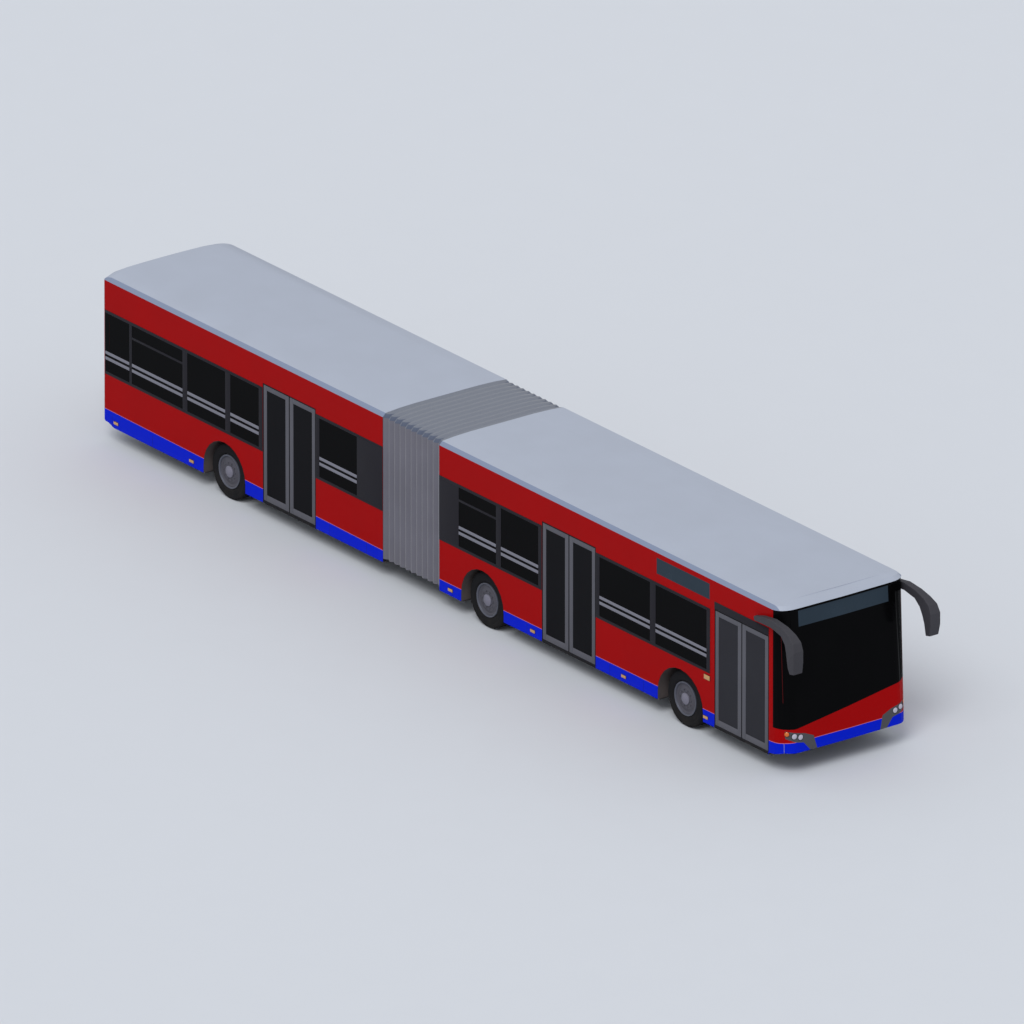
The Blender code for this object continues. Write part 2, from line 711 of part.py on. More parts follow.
def build_wall(wall):
    bm = bmesh.new()
    edges = sorted((wall.side * HALF_WIDTH, wall.side * INNER_Y))
    across(bm, wall_outline(wall), *edges)
    made = solid(wall.name, bm, RED_PAINT)
    outside = HALF_WIDTH + OVERRUN

    recess = bmesh.new()
    seat_y = HALF_WIDTH - GLASS - GAP
    for panel in wall.panels:
        sided_box(recess, wall.side, panel_ends(wall, panel), (seat_y, outside), (BAND_LOW_Z, BAND_HIGH_Z))
    for _ in range(wall.displays):
        seat_y = HALF_WIDTH - SIDE_DISPLAY_DEPTH - GAP
        sided_box(recess, wall.side, side_display_ends(), (seat_y, outside),
                  (SIDE_DISPLAY_LOW_Z, SIDE_DISPLAY_HIGH_Z))
    combine(made, recess, "DIFFERENCE")

    through = bmesh.new()
    inside = INNER_Y - OVERRUN
    for panel in wall.panels:
        for first_share, last_share in panel.window_shares:
            span = (place_along(panel.bay, last_share), place_along(panel.bay, first_share))
            sided_box(through, wall.side, span, (inside, outside),
                      (BAND_LOW_Z + WINDOW_FRAME, BAND_HIGH_Z - WINDOW_FRAME))
    combine(made, through, "DIFFERENCE")

    doorways = bmesh.new()
    for door in wall.doors:
        front_x = x_at(door.centre_d) + HALF_DOORWAY
        if door.centre_d == FRONT_DOOR_D:
            front_x += OVERRUN
        span = (x_at(door.centre_d) - HALF_DOORWAY, front_x)
        sided_box(doorways, wall.side, span, (inside, outside), (FLOOR_Z, door.header_z))
    if wall.doors:
        combine(made, doorways, "DIFFERENCE")

    arches = bmesh.new()
    for axle in wall.axles:
        across(arches, arch_outline(axle), *sorted((wall.side * inside, wall.side * outside)))
    combine(made, arches, "DIFFERENCE")


def build_glazing(wall):
    for panel in wall.panels:
        rear_x, front_x = panel_ends(wall, panel)
        bm = bmesh.new()
        sided_box(bm, wall.side, (rear_x + GAP, front_x - GAP), (HALF_WIDTH - GLASS, HALF_WIDTH),
                  (BAND_LOW_Z + GAP, BAND_HIGH_Z - GAP))
        solid(panel.name, bm, DARK_GLASS)


def build_side_display():
    rear_x, front_x = side_display_ends()
    bm = bmesh.new()
    sided_box(bm, RIGHT, (rear_x + GAP, front_x - GAP), (HALF_WIDTH - SIDE_DISPLAY_DEPTH, HALF_WIDTH),
              (SIDE_DISPLAY_LOW_Z + GAP, SIDE_DISPLAY_HIGH_Z - GAP))
    solid("side_display", bm, DISPLAY_GLASS)


def leaf_hinge(door, end):
    """The leaf's post, just inside the leaf at its jamb; end is 1 for the front leaf, -1 for the rear."""
    jamb_x = x_at(door.centre_d) + end * HALF_DOORWAY
    post_y = LEAF_THICKNESS - HALF_WIDTH + POST_RADIUS - JOIN / 2
    return jamb_x - end * (CLEARANCE + POST_RADIUS), post_y


def build_leaf(door, name, end):
    """One door leaf: a frame with a thin pane in it, fused to the post that it turns on."""
    jamb_x = x_at(door.centre_d) + end * HALF_DOORWAY
    outer_x = jamb_x - end * CLEARANCE
    tip_x = x_at(door.centre_d) + end * LEAF_MEETING_GAP / 2
    span = sorted((outer_x, tip_x))
    low_z = FLOOR_Z + CLEARANCE
    high_z = door.header_z - CLEARANCE
    post_x, post_y = leaf_hinge(door, end)

    bm = bmesh.new()
    sided_box(bm, RIGHT, span, (HALF_WIDTH - LEAF_THICKNESS, HALF_WIDTH), (low_z, high_z))
    leaf = solid(f"{door.name}_{name}", bm, DOOR_METAL, origin=(post_x, post_y, FLOOR_Z))

    pockets = bmesh.new()
    pane = (span[0] + LEAF_FRAME, span[1] - LEAF_FRAME)
    heights = (low_z + LEAF_RAIL, high_z - LEAF_FRAME)
    outer_y = HALF_WIDTH - LEAF_POCKET
    inner_y = outer_y - LEAF_PANE
    sided_box(pockets, RIGHT, pane, (outer_y, HALF_WIDTH + OVERRUN), heights)
    sided_box(pockets, RIGHT, pane, (HALF_WIDTH - LEAF_THICKNESS - OVERRUN, inner_y), heights)
    combine(leaf, pockets, "DIFFERENCE")

    post = bmesh.new()
    upright(post, post_x, post_y, POST_RADIUS, FLOOR_Z + GAP, door.header_z - GAP, POST_SIDES)
    combine(leaf, post, "UNION")


def build_doors():
    for door in DOORS:
        for name, end in (("front_leaf", 1), ("rear_leaf", -1)):
            build_leaf(door, name, end)


def housing_half(axle):
    return axle.arch_length / 2 + HOUSING_ROOM


def housing_boxes(axles, shell):
    """Boxes round the wheels: the outer size of each housing for 1, its hollow for 0."""
    bm = bmesh.new()
    for axle in axles:
        reach = housing_half(axle) + shell * HOUSING_WALL
        span = (x_at(axle.centre_d) - reach, x_at(axle.centre_d) + reach)
        inner_y = axle.housing_y - shell * HOUSING_WALL
        outer_y = INNER_Y - GAP if shell else INNER_Y + OVERRUN
        low_z = FLOOR_Z - JOIN if shell else FLOOR_LOW_Z - OVERRUN
        high_z = ARCH_TOP_Z + HOUSING_ROOM + shell * HOUSING_WALL
        for side in (RIGHT, LEFT):
            sided_box(bm, side, span, (inner_y, outer_y), (low_z, high_z))
    return bm


def build_front_floor():
    bm = bmesh.new()
    edge = INNER_Y - GAP
    box(bm, (x_at(FRONT_END_D), -edge, FLOOR_LOW_Z), (x_at(CORNER_D), edge, FLOOR_Z))
    floor = solid("front_floor", bm, FLOOR_GREY)
    combine(floor, housing_boxes(AXLES[:2], 1), "UNION")
    horns = bmesh.new()
    box(horns, (x_at(PIVOT_D) + HORN_REACH, -HORN_WIDTH / 2, FLOOR_LOW_Z),
        (x_at(FRONT_END_D) + JOIN, HORN_WIDTH / 2, FLOOR_Z))
    combine(floor, horns, "UNION")
    combine(floor, housing_boxes(AXLES[:2], 0), "DIFFERENCE")
    ring = bmesh.new()
    upright(ring, x_at(PIVOT_D), 0.0, (TURNTABLE_RADIUS + CLEARANCE) / math.cos(math.pi / TURNTABLE_SIDES),
            FLOOR_LOW_Z - OVERRUN, FLOOR_Z + OVERRUN, TURNTABLE_SIDES)
    combine(floor, ring, "DIFFERENCE")


def build_rear_floor():
    bm = bmesh.new()
    edge = INNER_Y - GAP
    rear_x = REAR_X + TAIL_RISE_LENGTH
    box(bm, (rear_x, -edge, FLOOR_LOW_Z), (x_at(REAR_START_D), edge, FLOOR_Z))
    floor = solid("rear_floor", bm, FLOOR_GREY, origin=(x_at(PIVOT_D), 0.0, FLOOR_Z))
    combine(floor, housing_boxes(AXLES[2:], 1), "UNION")
    tongue = bmesh.new()
    box(tongue, (x_at(REAR_START_D) - JOIN, -TURNTABLE_ARM_WIDTH / 2, FLOOR_LOW_Z),
        (x_at(PIVOT_D), TURNTABLE_ARM_WIDTH / 2, FLOOR_Z))
    combine(floor, tongue, "UNION")
    disc = bmesh.new()
    upright(disc, x_at(PIVOT_D), 0.0, TURNTABLE_RADIUS, FLOOR_LOW_Z, FLOOR_Z, TURNTABLE_SIDES)
    combine(floor, disc, "UNION")
    combine(floor, housing_boxes(AXLES[2:], 0), "DIFFERENCE")


def build_turntable():
    """The lower half of the joint: a disc under the pivot on an arm fixed below the front floor."""
    high_z = FLOOR_LOW_Z - GAP
    low_z = high_z - TURNTABLE_THICKNESS
    bm = bmesh.new()
    upright(bm, x_at(PIVOT_D), 0.0, TURNTABLE_RADIUS, low_z, high_z, TURNTABLE_SIDES)
    table = solid("turntable", bm, AXLE_METAL, origin=(x_at(PIVOT_D), 0.0, high_z))
    arm = bmesh.new()
    box(arm, (x_at(PIVOT_D), -TURNTABLE_ARM_WIDTH / 2, low_z),
        (x_at(FRONT_END_D) + TURNTABLE_LAP, TURNTABLE_ARM_WIDTH / 2, high_z))
    combine(table, arm, "UNION")


def bellows_section(inset):
    """The bellows' edge from the front at one inset: up one side, over the top and down the other,
    with the roof's bevel and crown."""
    half = HALF_WIDTH - inset
    bevel_z = EAVES_Z + ROOF_BEVEL - inset
    points = [
        (-half, BELLOWS_LOW_Z),
        (-half, EAVES_Z - inset),
        (ROOF_BEVEL - half, bevel_z),
        (-half * 3 / 4, bevel_z + ROOF_CROWN * 2 / 3),
        (-half / 2, bevel_z + ROOF_CROWN),
    ]
    points += [(-y, z) for y, z in reversed(points)]
    return points


def build_bellows():
    length = REAR_START_D - FRONT_END_D - 2 * GAP
    start = x_at(FRONT_END_D) - GAP
    rings = []
    for step in range(2 * PLEAT_COUNT + 1):
        inset = BELLOWS_INSET + PLEAT_DEPTH * (step % 2)
        x = start - length * step / (2 * PLEAT_COUNT)
        outer = bellows_section(inset)
        inner = bellows_section(inset + BELLOWS_THICKNESS)
        rings.append([(x, y, z) for y, z in outer + inner[::-1]])
    bm = bmesh.new()
    loft(bm, rings)
    solid("bellows", bm, BELLOWS_GREY)


def build_axle(axle):
    """A dropped beam below the floor with an upright at each wheel housing."""
    centre = x_at(axle.centre_d)
    high_z = FLOOR_LOW_Z - GAP
    low_z = high_z - AXLE_DEPTH
    half = AXLE_BREADTH / 2
    if axle.tyres == 1:
        upright_in = axle.housing_y + HOUSING_WALL
    else:
        upright_in = axle.housing_y + GAP * 10
    upright_out = upright_in + UPRIGHT_THICKNESS
    knuckle_top = AXLE_Z + KNUCKLE_HEIGHT / 2 + GAP
    knuckle_low = AXLE_Z - KNUCKLE_HEIGHT / 2 - GAP
    top_z = knuckle_top + LUG_THICKNESS if axle.tyres == 1 else AXLE_Z + STUB_RADIUS * 2

    bm = bmesh.new()
    box(bm, (centre - half, -upright_out, low_z), (centre + half, upright_out, high_z))
    made = solid(f"{axle.name}_axle", bm, AXLE_METAL)
    ends = bmesh.new()
    for side in (RIGHT, LEFT):
        sided_box(ends, side, (centre - half, centre + half), (upright_in, upright_out),
                  (high_z - JOIN, top_z))
    combine(made, ends, "UNION")
    tips = bmesh.new()
    for side in (RIGHT, LEFT):
        reach = (upright_out - JOIN, KINGPIN_Y + KNUCKLE_RADIUS)
        span = (centre - KNUCKLE_RADIUS, centre + KNUCKLE_RADIUS)
        if axle.tyres == 1:
            sided_box(tips, side, span, reach, (knuckle_top, top_z))
            sided_box(tips, side, span, reach, (knuckle_low - LUG_THICKNESS, knuckle_low))
        else:
            edges = sorted((side * (upright_out - JOIN), side * (TYRE_FACE_Y - axle.hub_depth - GAP)))
            stub(tips, centre, AXLE_Z, STUB_RADIUS, *edges, KNUCKLE_SIDES)
    combine(made, tips, "UNION")


def build_knuckles():
    centre = x_at(FRONT_AXLE_D)
    for name, side in (("knuckle_right", RIGHT), ("knuckle_left", LEFT)):
        bm = bmesh.new()
        upright(bm, centre, side * KINGPIN_Y, KNUCKLE_RADIUS, AXLE_Z - KNUCKLE_HEIGHT / 2,
                AXLE_Z + KNUCKLE_HEIGHT / 2, KNUCKLE_SIDES)
        knuckle = solid(name, bm, AXLE_METAL, origin=(centre, side * KINGPIN_Y, AXLE_Z))
        spindle = bmesh.new()
        edges = sorted((side * KINGPIN_Y, side * (TYRE_FACE_Y - FRONT_HUB_DEPTH - GAP)))
        stub(spindle, centre, AXLE_Z, STUB_RADIUS, *edges, KNUCKLE_SIDES)
        combine(knuckle, spindle, "UNION")


# One tyre's section: shares of the wall height from the bead out to the tread, and shares of
# the tyre's width from its outer face inwards
TYRE_SECTION_SHARES = (
    (0.0, 0.13), (0.10, 0.04), (0.35, 0.0), (0.68, 0.0), (0.90, 0.045), (1.0, 0.13),
    (1.0, 0.87), (0.90, 0.955), (0.68, 1.0), (0.35, 1.0),
)
TYRE_BEAD_SHARES = ((0.10, 0.96), (0.0, 0.87))
TWIN_NECK_SHARE = 0.14


def tyre_profile(count):
    """The section of one tyre, or of two side by side that meet at a low neck."""
    bead = RIM_RADIUS + GAP
    height = TYRE_RADIUS - bead
    profile = [(bead + height * up, TYRE_WIDTH * over) for up, over in TYRE_SECTION_SHARES]
    if count == 2:
        neck = bead + height * TWIN_NECK_SHARE
        second = TYRE_WIDTH + TWIN_SPACING
        profile += [(neck, TYRE_WIDTH), (neck, second)]
        for up, over in TYRE_SECTION_SHARES[2:]:
            profile.append((bead + height * up, second + TYRE_WIDTH * over))
        last = second
    else:
        last = 0.0
    profile += [(bead + height * up, last + TYRE_WIDTH * over) for up, over in TYRE_BEAD_SHARES]
    return profile


def rim_profile(axle):
    """The wheel's section: hub cap, dished face, lip, barrel and the flat seat of the hub."""
    width = TYRE_WIDTH * axle.tyres + TWIN_SPACING * (axle.tyres - 1)
    cap_depth = RIM_FACE_DEPTH - HUB_CAP_PROUD
    lip = RIM_THICKNESS / 2
    inner = RIM_RADIUS - RIM_THICKNESS
    return [
        (0.0, cap_depth), (HUB_CAP_RADIUS - lip, cap_depth), (HUB_CAP_RADIUS, cap_depth + lip),
        (HUB_CAP_RADIUS, RIM_FACE_DEPTH), (inner - lip, RIM_FACE_DEPTH), (inner, lip),
        (RIM_RADIUS, lip), (RIM_RADIUS, width - lip), (inner, width - lip),
        (inner, axle.hub_depth - RIM_FACE_DEPTH), (HUB_SEAT_RADIUS, axle.hub_depth), (0.0, axle.hub_depth),
    ]


def build_wheels():
    for axle in AXLES:
        centre = x_at(axle.centre_d)
        for name, side in (("right", RIGHT), ("left", LEFT)):
            hub = (centre, side * TYRE_FACE_Y, AXLE_Z)
            tyre = bmesh.new()
            turned(tyre, tyre_profile(axle.tyres), centre, side, WHEEL_SEGMENTS)
            solid(f"{axle.name}_{name}_tyre", tyre, TYRE_BLACK, origin=hub, smooth=True)
            rim = bmesh.new()
            turned(rim, rim_profile(axle), centre, side, WHEEL_SEGMENTS)
            solid(f"{axle.name}_{name}_wheel", rim, RIM_METAL, origin=hub, smooth=True)


def build_mirrors():
    root_x = x_at(MIRROR_ROOT_D)
    length = MIRROR_ROOT_D + NOSE_REACH + MIRROR_REACH
    inner_y = HALF_WIDTH + GAP
    for name, side in (("mirror_right", RIGHT), ("mirror_left", LEFT)):
        rings = []
        for station in MIRROR_SHARES:
            outer_y = inner_y + (MIRROR_OUTREACH - GAP) * station.width
            outer = (root_x + length * station.outer_ahead, MIRROR_LOW_Z + MIRROR_HEIGHT * station.outer_up)
            inner = (root_x + length * station.inner_ahead, MIRROR_LOW_Z + MIRROR_HEIGHT * station.inner_up)
            rings.append([
                (outer[0], side * inner_y, outer[1]),
                (outer[0], side * outer_y, outer[1]),
                (inner[0], side * outer_y, inner[1]),
                (inner[0], side * inner_y, inner[1]),
            ])
        bm = bmesh.new()
        loft(bm, rings)
        bmesh.ops.triangulate(bm, faces=bm.faces[:])
        solid(name, bm, DARK_PLASTIC)


def seat_points(rear_x, low_z, length, height):
    return [(rear_x + length * over, low_z + height * up) for over, up in SEAT_OUTLINE_SHARES]


def build_seats():
    """Rows of double seats, each row on a rail along the floor."""
    outer_y = INNER_Y - SEAT_WALL_ROOM
    inner_y = outer_y - SEAT_WIDTH
    for row in SEAT_ROWS:
        front_x = x_at(row.front_d)
        rear_x = front_x - SEAT_LENGTH - SEAT_PITCH * (row.count - 1)
        rail = bmesh.new()
        middle = (outer_y + inner_y) / 2
        sided_box(rail, row.side, (rear_x, front_x), (middle - SEAT_RAIL, middle + SEAT_RAIL),
                  (FLOOR_Z + GAP, FLOOR_Z + GAP + SEAT_RAIL))
        made = solid(row.name, rail, SEAT_BLUE)
        seats = bmesh.new()
        low_z = FLOOR_Z + SEAT_RAIL - JOIN
        for index in range(row.count):
            seat_x = rear_x + SEAT_PITCH * index
            across(seats, seat_points(seat_x, low_z, SEAT_LENGTH, SEAT_HEIGHT),
                   *sorted((row.side * inner_y, row.side * outer_y)))
        combine(made, seats, "UNION")


def build_cab():
    """The driver's seat on its plinth, the dashboard and the partition behind the driver."""
    half = DRIVER_SEAT_WIDTH / 2
    low_z = FLOOR_Z + GAP
    rear_x = x_at(DRIVER_SEAT_D)
    plinth = bmesh.new()
    box(plinth, (rear_x, DRIVER_SEAT_Y - half, low_z),
        (rear_x + SEAT_LENGTH, DRIVER_SEAT_Y + half, low_z + DRIVER_PLINTH))
    seat = solid("driver_seat", plinth, SEAT_BLUE)
    top = bmesh.new()
    across(top, seat_points(rear_x, low_z + DRIVER_PLINTH - JOIN, SEAT_LENGTH, SEAT_HEIGHT),
           DRIVER_SEAT_Y - half + JOIN, DRIVER_SEAT_Y + half - JOIN)
    combine(seat, top, "UNION")

    dash = bmesh.new()
    rear_x = x_at(DASH_D)
    box(dash, (rear_x, INNER_Y - DASH_WIDTH, low_z),
        (rear_x + DASH_LENGTH, INNER_Y - GAP, low_z + DASH_HEIGHT))
    solid("dashboard", dash, DARK_PLASTIC)

    partition = bmesh.new()
    rear_x = x_at(PARTITION_D)
    box(partition, (rear_x, INNER_Y - PARTITION_WIDTH, low_z),
        (rear_x + PARTITION_THICKNESS, INNER_Y - GAP, low_z + PARTITION_HEIGHT))
    solid("cab_partition", partition, DARK_PLASTIC)


def build_engine():
    bm = bmesh.new()
    front_x = x_at(ENGINE_FRONT_D)
    box(bm, (front_x - ENGINE_LENGTH, -ENGINE_WIDTH / 2, FLOOR_Z + GAP),
        (front_x, ENGINE_WIDTH / 2, FLOOR_Z + GAP + ENGINE_HEIGHT))
    solid("engine_block", bm, ENGINE_METAL)


def main():
    clear_scene()
    build_nose()
    build_windscreen()
    build_front_display()
    build_headlamps()
    build_tail()
    build_rear_window()
    build_engine_lid()
    build_roof("front_roof", FRONT_EAVES, x_at(FRONT_END_D))
    build_roof("rear_roof", TAIL_SHELL, x_at(REAR_START_D))
    for wall in WALLS:
        build_wall(wall)
        build_glazing(wall)
    build_side_display()
    build_doors()
    build_front_floor()
    build_rear_floor()
    build_turntable()
    build_bellows()
    for axle in AXLES:
        build_axle(axle)
    build_knuckles()
    build_wheels()
    build_mirrors()
    build_seats()
    build_cab()
    build_engine()


main()
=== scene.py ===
"""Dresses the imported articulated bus: coach paint, glazing, doors, bellows, wheels, lamps and studio.

Metres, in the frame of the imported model. A distance along the body, named with _d at its end, is
measured backwards from the same station as in the part's source.
"""

import logging
import math
from dataclasses import dataclass, replace
from enum import Enum
from functools import cache

import bmesh
import bpy
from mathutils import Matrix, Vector
from mathutils.bvhtree import BVHTree


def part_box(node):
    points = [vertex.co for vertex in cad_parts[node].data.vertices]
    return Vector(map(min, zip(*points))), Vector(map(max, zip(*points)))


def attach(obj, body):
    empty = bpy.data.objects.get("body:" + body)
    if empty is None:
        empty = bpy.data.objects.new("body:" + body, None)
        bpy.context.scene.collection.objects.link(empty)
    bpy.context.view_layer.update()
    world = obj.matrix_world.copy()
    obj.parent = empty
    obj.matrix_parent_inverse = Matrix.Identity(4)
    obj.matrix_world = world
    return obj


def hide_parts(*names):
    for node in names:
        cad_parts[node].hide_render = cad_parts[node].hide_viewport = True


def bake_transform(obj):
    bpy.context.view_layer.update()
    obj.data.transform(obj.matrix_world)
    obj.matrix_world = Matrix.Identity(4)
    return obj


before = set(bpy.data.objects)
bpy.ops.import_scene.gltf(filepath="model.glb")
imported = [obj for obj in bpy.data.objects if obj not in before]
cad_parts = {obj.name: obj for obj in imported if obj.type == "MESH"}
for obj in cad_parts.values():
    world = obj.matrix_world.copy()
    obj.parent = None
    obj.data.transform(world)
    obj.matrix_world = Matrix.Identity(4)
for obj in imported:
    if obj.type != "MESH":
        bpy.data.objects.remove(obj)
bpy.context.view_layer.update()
LOG = logging.getLogger("bus")

Point = tuple[float, float, float]
Pair = tuple[float, float]
Colour = tuple[float, float, float, float]
Node = bpy.types.Node
Socket = bpy.types.NodeSocket
Tree = bpy.types.NodeTree

# The body's main places and sizes, as in the part's source.
HALF_WIDTH = 1.275
WALL = 0.06
WALL_START_D = 0.2003
STATION_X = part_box("front_right_wall")[1].x + WALL_START_D
EAVES_Z = 2.817
ROOF_BEVEL = 0.06
ROOF_CROWN = 0.03
FLOOR_Z = 0.345
BAND_LOW_Z = 1.185
BAND_HIGH_Z = 2.305
WINDOW_FRAME = 0.05
FRONT_END_D = 8.94
REAR_START_D = 10.46
AXLE_Z = 0.47441
TYRE_FACE_Y = 1.185

# How meshes are built: the gap between pieces that meet, and how edges are rounded and shaded.
GAP = 0.0003
EDGE_SEGMENTS = 2
SMOOTH_ANGLE = 35.0

# What all finishes share.
COAT_ROUGHNESS = 0.08
LEAST_ROUGHNESS = 0.02
ROUGHNESS_SWING = 0.06
DUST_ROUGHNESS = 0.4
BUMP_STRENGTH = 0.6
GLASS_IOR = 1.5


class Side(Enum):
    """The two sides of the bus, as the sign of Y."""

    RIGHT = -1
    LEFT = 1


class Section(Enum):
    """The two hinged halves of the bus, as the bodies that carry them."""

    FRONT = "front_section"
    REAR = "rear_section"


class End(Enum):
    """The two ends of the bus, as how far ahead of the front station a line to each starts."""

    NOSE = 2.0
    TAIL = -25.0


class Test(Enum):
    """How a value is compared with a limit in a material."""

    BELOW = "LESS_THAN"
    ABOVE = "GREATER_THAN"


class Weave(Enum):
    """How a cloth is woven, as the number of threads in a metre."""

    SEAT = 420.0
    COATED = 700.0


def x_at(distance: float) -> float:
    """The X coordinate of a place so many metres behind the front station."""
    return STATION_X - distance


def about(middle: float, size: float) -> Pair:
    """Where a span of one size about its middle starts and ends."""
    return (middle - size / 2, middle + size / 2)


def spokes(first: Vector, second: Vector, count: int) -> list[Vector]:
    """Directions evenly round a circle.

    Args:
        first: the first direction.
        second: the direction a quarter of a turn after it.
        count: how many directions to give.

    Returns:
        The directions in order, each one metre long.
    """
    angles = [2 * math.pi * step / count for step in range(count)]
    return [first * math.cos(angle) + second * math.sin(angle) for angle in angles]


def linear(channel: float) -> float:
    """The linear value of one colour channel given from 0 to 255 as it looks on a screen."""
    share = channel / 255
    return ((share + 0.055) / 1.055) ** 2.4 if share > 0.04045 else share / 12.92


def colour(red: float, green: float, blue: float) -> Colour:
    """A screen colour from 0 to 255 as a linear colour with full cover."""
    return (linear(red), linear(green), linear(blue), 1.0)


class Net:
    """Adds nodes to one node tree and links them."""

    def __init__(self, tree: Tree) -> None:
        """Keep the tree that the nodes go into."""
        self.tree = tree

    def fill(self, sockets: bpy.types.bpy_prop_collection, values: dict) -> None:
        """Link or set a node's input sockets.

        Args:
            sockets: the node's inputs.
            values: numbers, colours or output sockets, by input name or number.
        """
        for key, value in values.items():
            if isinstance(value, Socket):
                self.tree.links.new(value, sockets[key])
            else:
                sockets[key].default_value = value

    def add(self, kind: str, inputs: dict | None = None, **settings: object) -> Node:
        """Add one node.

        Args:
            kind: the node's type name, without the leading ShaderNode.
            inputs: values or output sockets by input name or number.
            settings: the node's own properties.

        Returns:
            The new node.
        """
        node = self.tree.nodes.new(f"ShaderNode{kind}")
        for key, value in settings.items():
            setattr(node, key, value)
        self.fill(node.inputs, inputs or {})
        return node

    def math(self, operation: str, first: object, second: object = 0.0, clamp: bool = False) -> Socket:
        """One sum of two values, each a number or a socket."""
        return self.add("Math", {0: first, 1: second}, operation=operation, use_clamp=clamp).outputs[0]

    def product(self, first: object, second: object, clamp: bool = False) -> Socket:
        """The product of two values, each a number or a socket."""
        return self.math("MULTIPLY", first, second, clamp)

    def spread(self, value: object, low: object, high: object, to_low: float = 0.0,
               to_high: float = 1.0) -> Socket:
        """A value moved from one range to another and held inside it."""
        limits = {"From Min": low, "From Max": high, "To Min": to_low, "To Max": to_high}
        return self.add("MapRange", {"Value": value, **limits}).outputs["Result"]

    def mix(self, share: object, first: object, second: object) -> Socket:
        """A colour between two colours."""
        return self.add("Mix", {"Factor": share, 6: first, 7: second}, data_type="RGBA").outputs[2]

    def layers(self, start: Socket, value: Socket, test: Test, *steps: tuple[float, Colour]) -> Socket:
        """A colour that changes wherever a value passes a test.

        Args:
            start: the colour elsewhere.
            value: what is tested.
            test: the test.
            steps: each limit that the value is tested against, and the colour where it passes.

        Returns:
            The colour.
        """
        for limit, beyond in steps:
            start = self.mix(self.math(test.value, value, limit), start, beyond)
        return start

    def noise(self, place: Socket, scale: object, detail: float, roughness: float = 0.5) -> Socket:
        """Soft noise over the surface."""
        settings = {"Scale": scale, "Detail": detail, "Roughness": roughness}
        return self.add("TexNoise", {"Vector": place, **settings}).outputs[0]

    def axis(self, place: Socket, name: str) -> Socket:
        """One coordinate of a place."""
        return self.add("SeparateXYZ", {0: place}).outputs[name]

    def object_place(self) -> Socket:
        """The place on the piece in the frame of the bus at rest."""
        return self.add("TexCoord").outputs["Object"]


class ShaderGroups:
    """The effects that several finishes share, each built once as a node group."""

    @staticmethod
    def start(name: str, inputs: dict[str, float | None], *outputs: str) -> tuple[
            Net, bpy.types.bpy_prop_collection, bpy.types.bpy_prop_collection]:
        """Start a node group with named sockets.

        Args:
            name: the group's name.
            inputs: each input's starting value, or None for a vector.
            outputs: the names of the outputs, which all carry one value.

        Returns:
            The group's net, the sockets that it is given and the sockets that it fills.
        """
        tree = bpy.data.node_groups.new(name, "ShaderNodeTree")
        for label, value in inputs.items():
            kind = "NodeSocketVector" if value is None else "NodeSocketFloat"
            socket = tree.interface.new_socket(label, in_out="INPUT", socket_type=kind)
            if value is not None:
                socket.default_value = value
        for label in outputs:
            tree.interface.new_socket(label, in_out="OUTPUT", socket_type="NodeSocketFloat")
        return Net(tree), tree.nodes.new("NodeGroupInput").outputs, tree.nodes.new("NodeGroupOutput").inputs

    @staticmethod
    @cache
    def grain() -> Tree:
        """Fine grain for a bump, and a slow change of tone over the surface.

        Returns:
            The group.
        """
        net, given, filled = ShaderGroups.start(
            "surface_grain", {"Vector": None, "Scale": 200.0, "Tone Scale": 1.5}, "Height", "Tone")
        fine = net.noise(given["Vector"], given["Scale"], 3.0, 0.6)
        broad = net.noise(given["Vector"], given["Tone Scale"], 4.0, 0.55)
        net.fill(filled, {"Height": fine, "Tone": net.spread(broad, 0.3, 0.7)})
        return net.tree

    @staticmethod
    @cache
    def dust() -> Tree:
        """Road dust that thins out with height and lies in patches.

        Returns:
            The group.
        """
        net, given, filled = ShaderGroups.start(
            "road_dust", {"Vector": None, "Top Height": 0.9, "Amount": 0.3}, "Mask")
        fade = net.spread(net.axis(given["Vector"], "Z"), 0.05, given["Top Height"], 1.0, 0.0)
        patches = net.spread(net.noise(given["Vector"], 5.0, 6.0, 0.7), 0.35, 0.7)
        patchy = net.product(net.product(fade, fade), patches)
        net.fill(filled, {"Mask": net.product(patchy, given["Amount"], True)})
        return net.tree

    @staticmethod
    @cache
    def wear() -> Tree:
        """Rubbed edges, where the rounded normal leaves the surface's own.

        Returns:
            The group.
        """
        net, given, filled = ShaderGroups.start(
            "edge_wear", {"Vector": None, "Radius": 0.004, "Amount": 0.5}, "Mask")
        normals = {0: net.add("Bevel", {"Radius": given["Radius"]}, samples=4).outputs[0],
                   1: net.add("NewGeometry").outputs["Normal"]}
        same = net.add("VectorMath", normals, operation="DOT_PRODUCT").outputs["Value"]
        rubbed = net.spread(net.noise(given["Vector"], 14.0, 5.0), 0.4, 0.65)
        patchy = net.product(net.spread(same, 0.98, 0.75), rubbed)
        net.fill(filled, {"Mask": net.product(patchy, given["Amount"], True)})
        return net.tree

    @staticmethod
    @cache
    def weave() -> Tree:
        """Two crossing sets of threads.

        Returns:
            The group.
        """
        net, given, filled = ShaderGroups.start("cloth_weave", {"Vector": None, "Threads": 400.0}, "Height")
        wave = {"Vector": given["Vector"], "Scale": given["Threads"], "Distortion": 0.4}
        threads = [net.add("TexWave", wave, bands_direction=way).outputs[0] for way in ("DIAGONAL", "Z")]
        net.fill(filled, {"Height": net.product(net.math("ADD", *threads), 0.5)})
        return net.tree


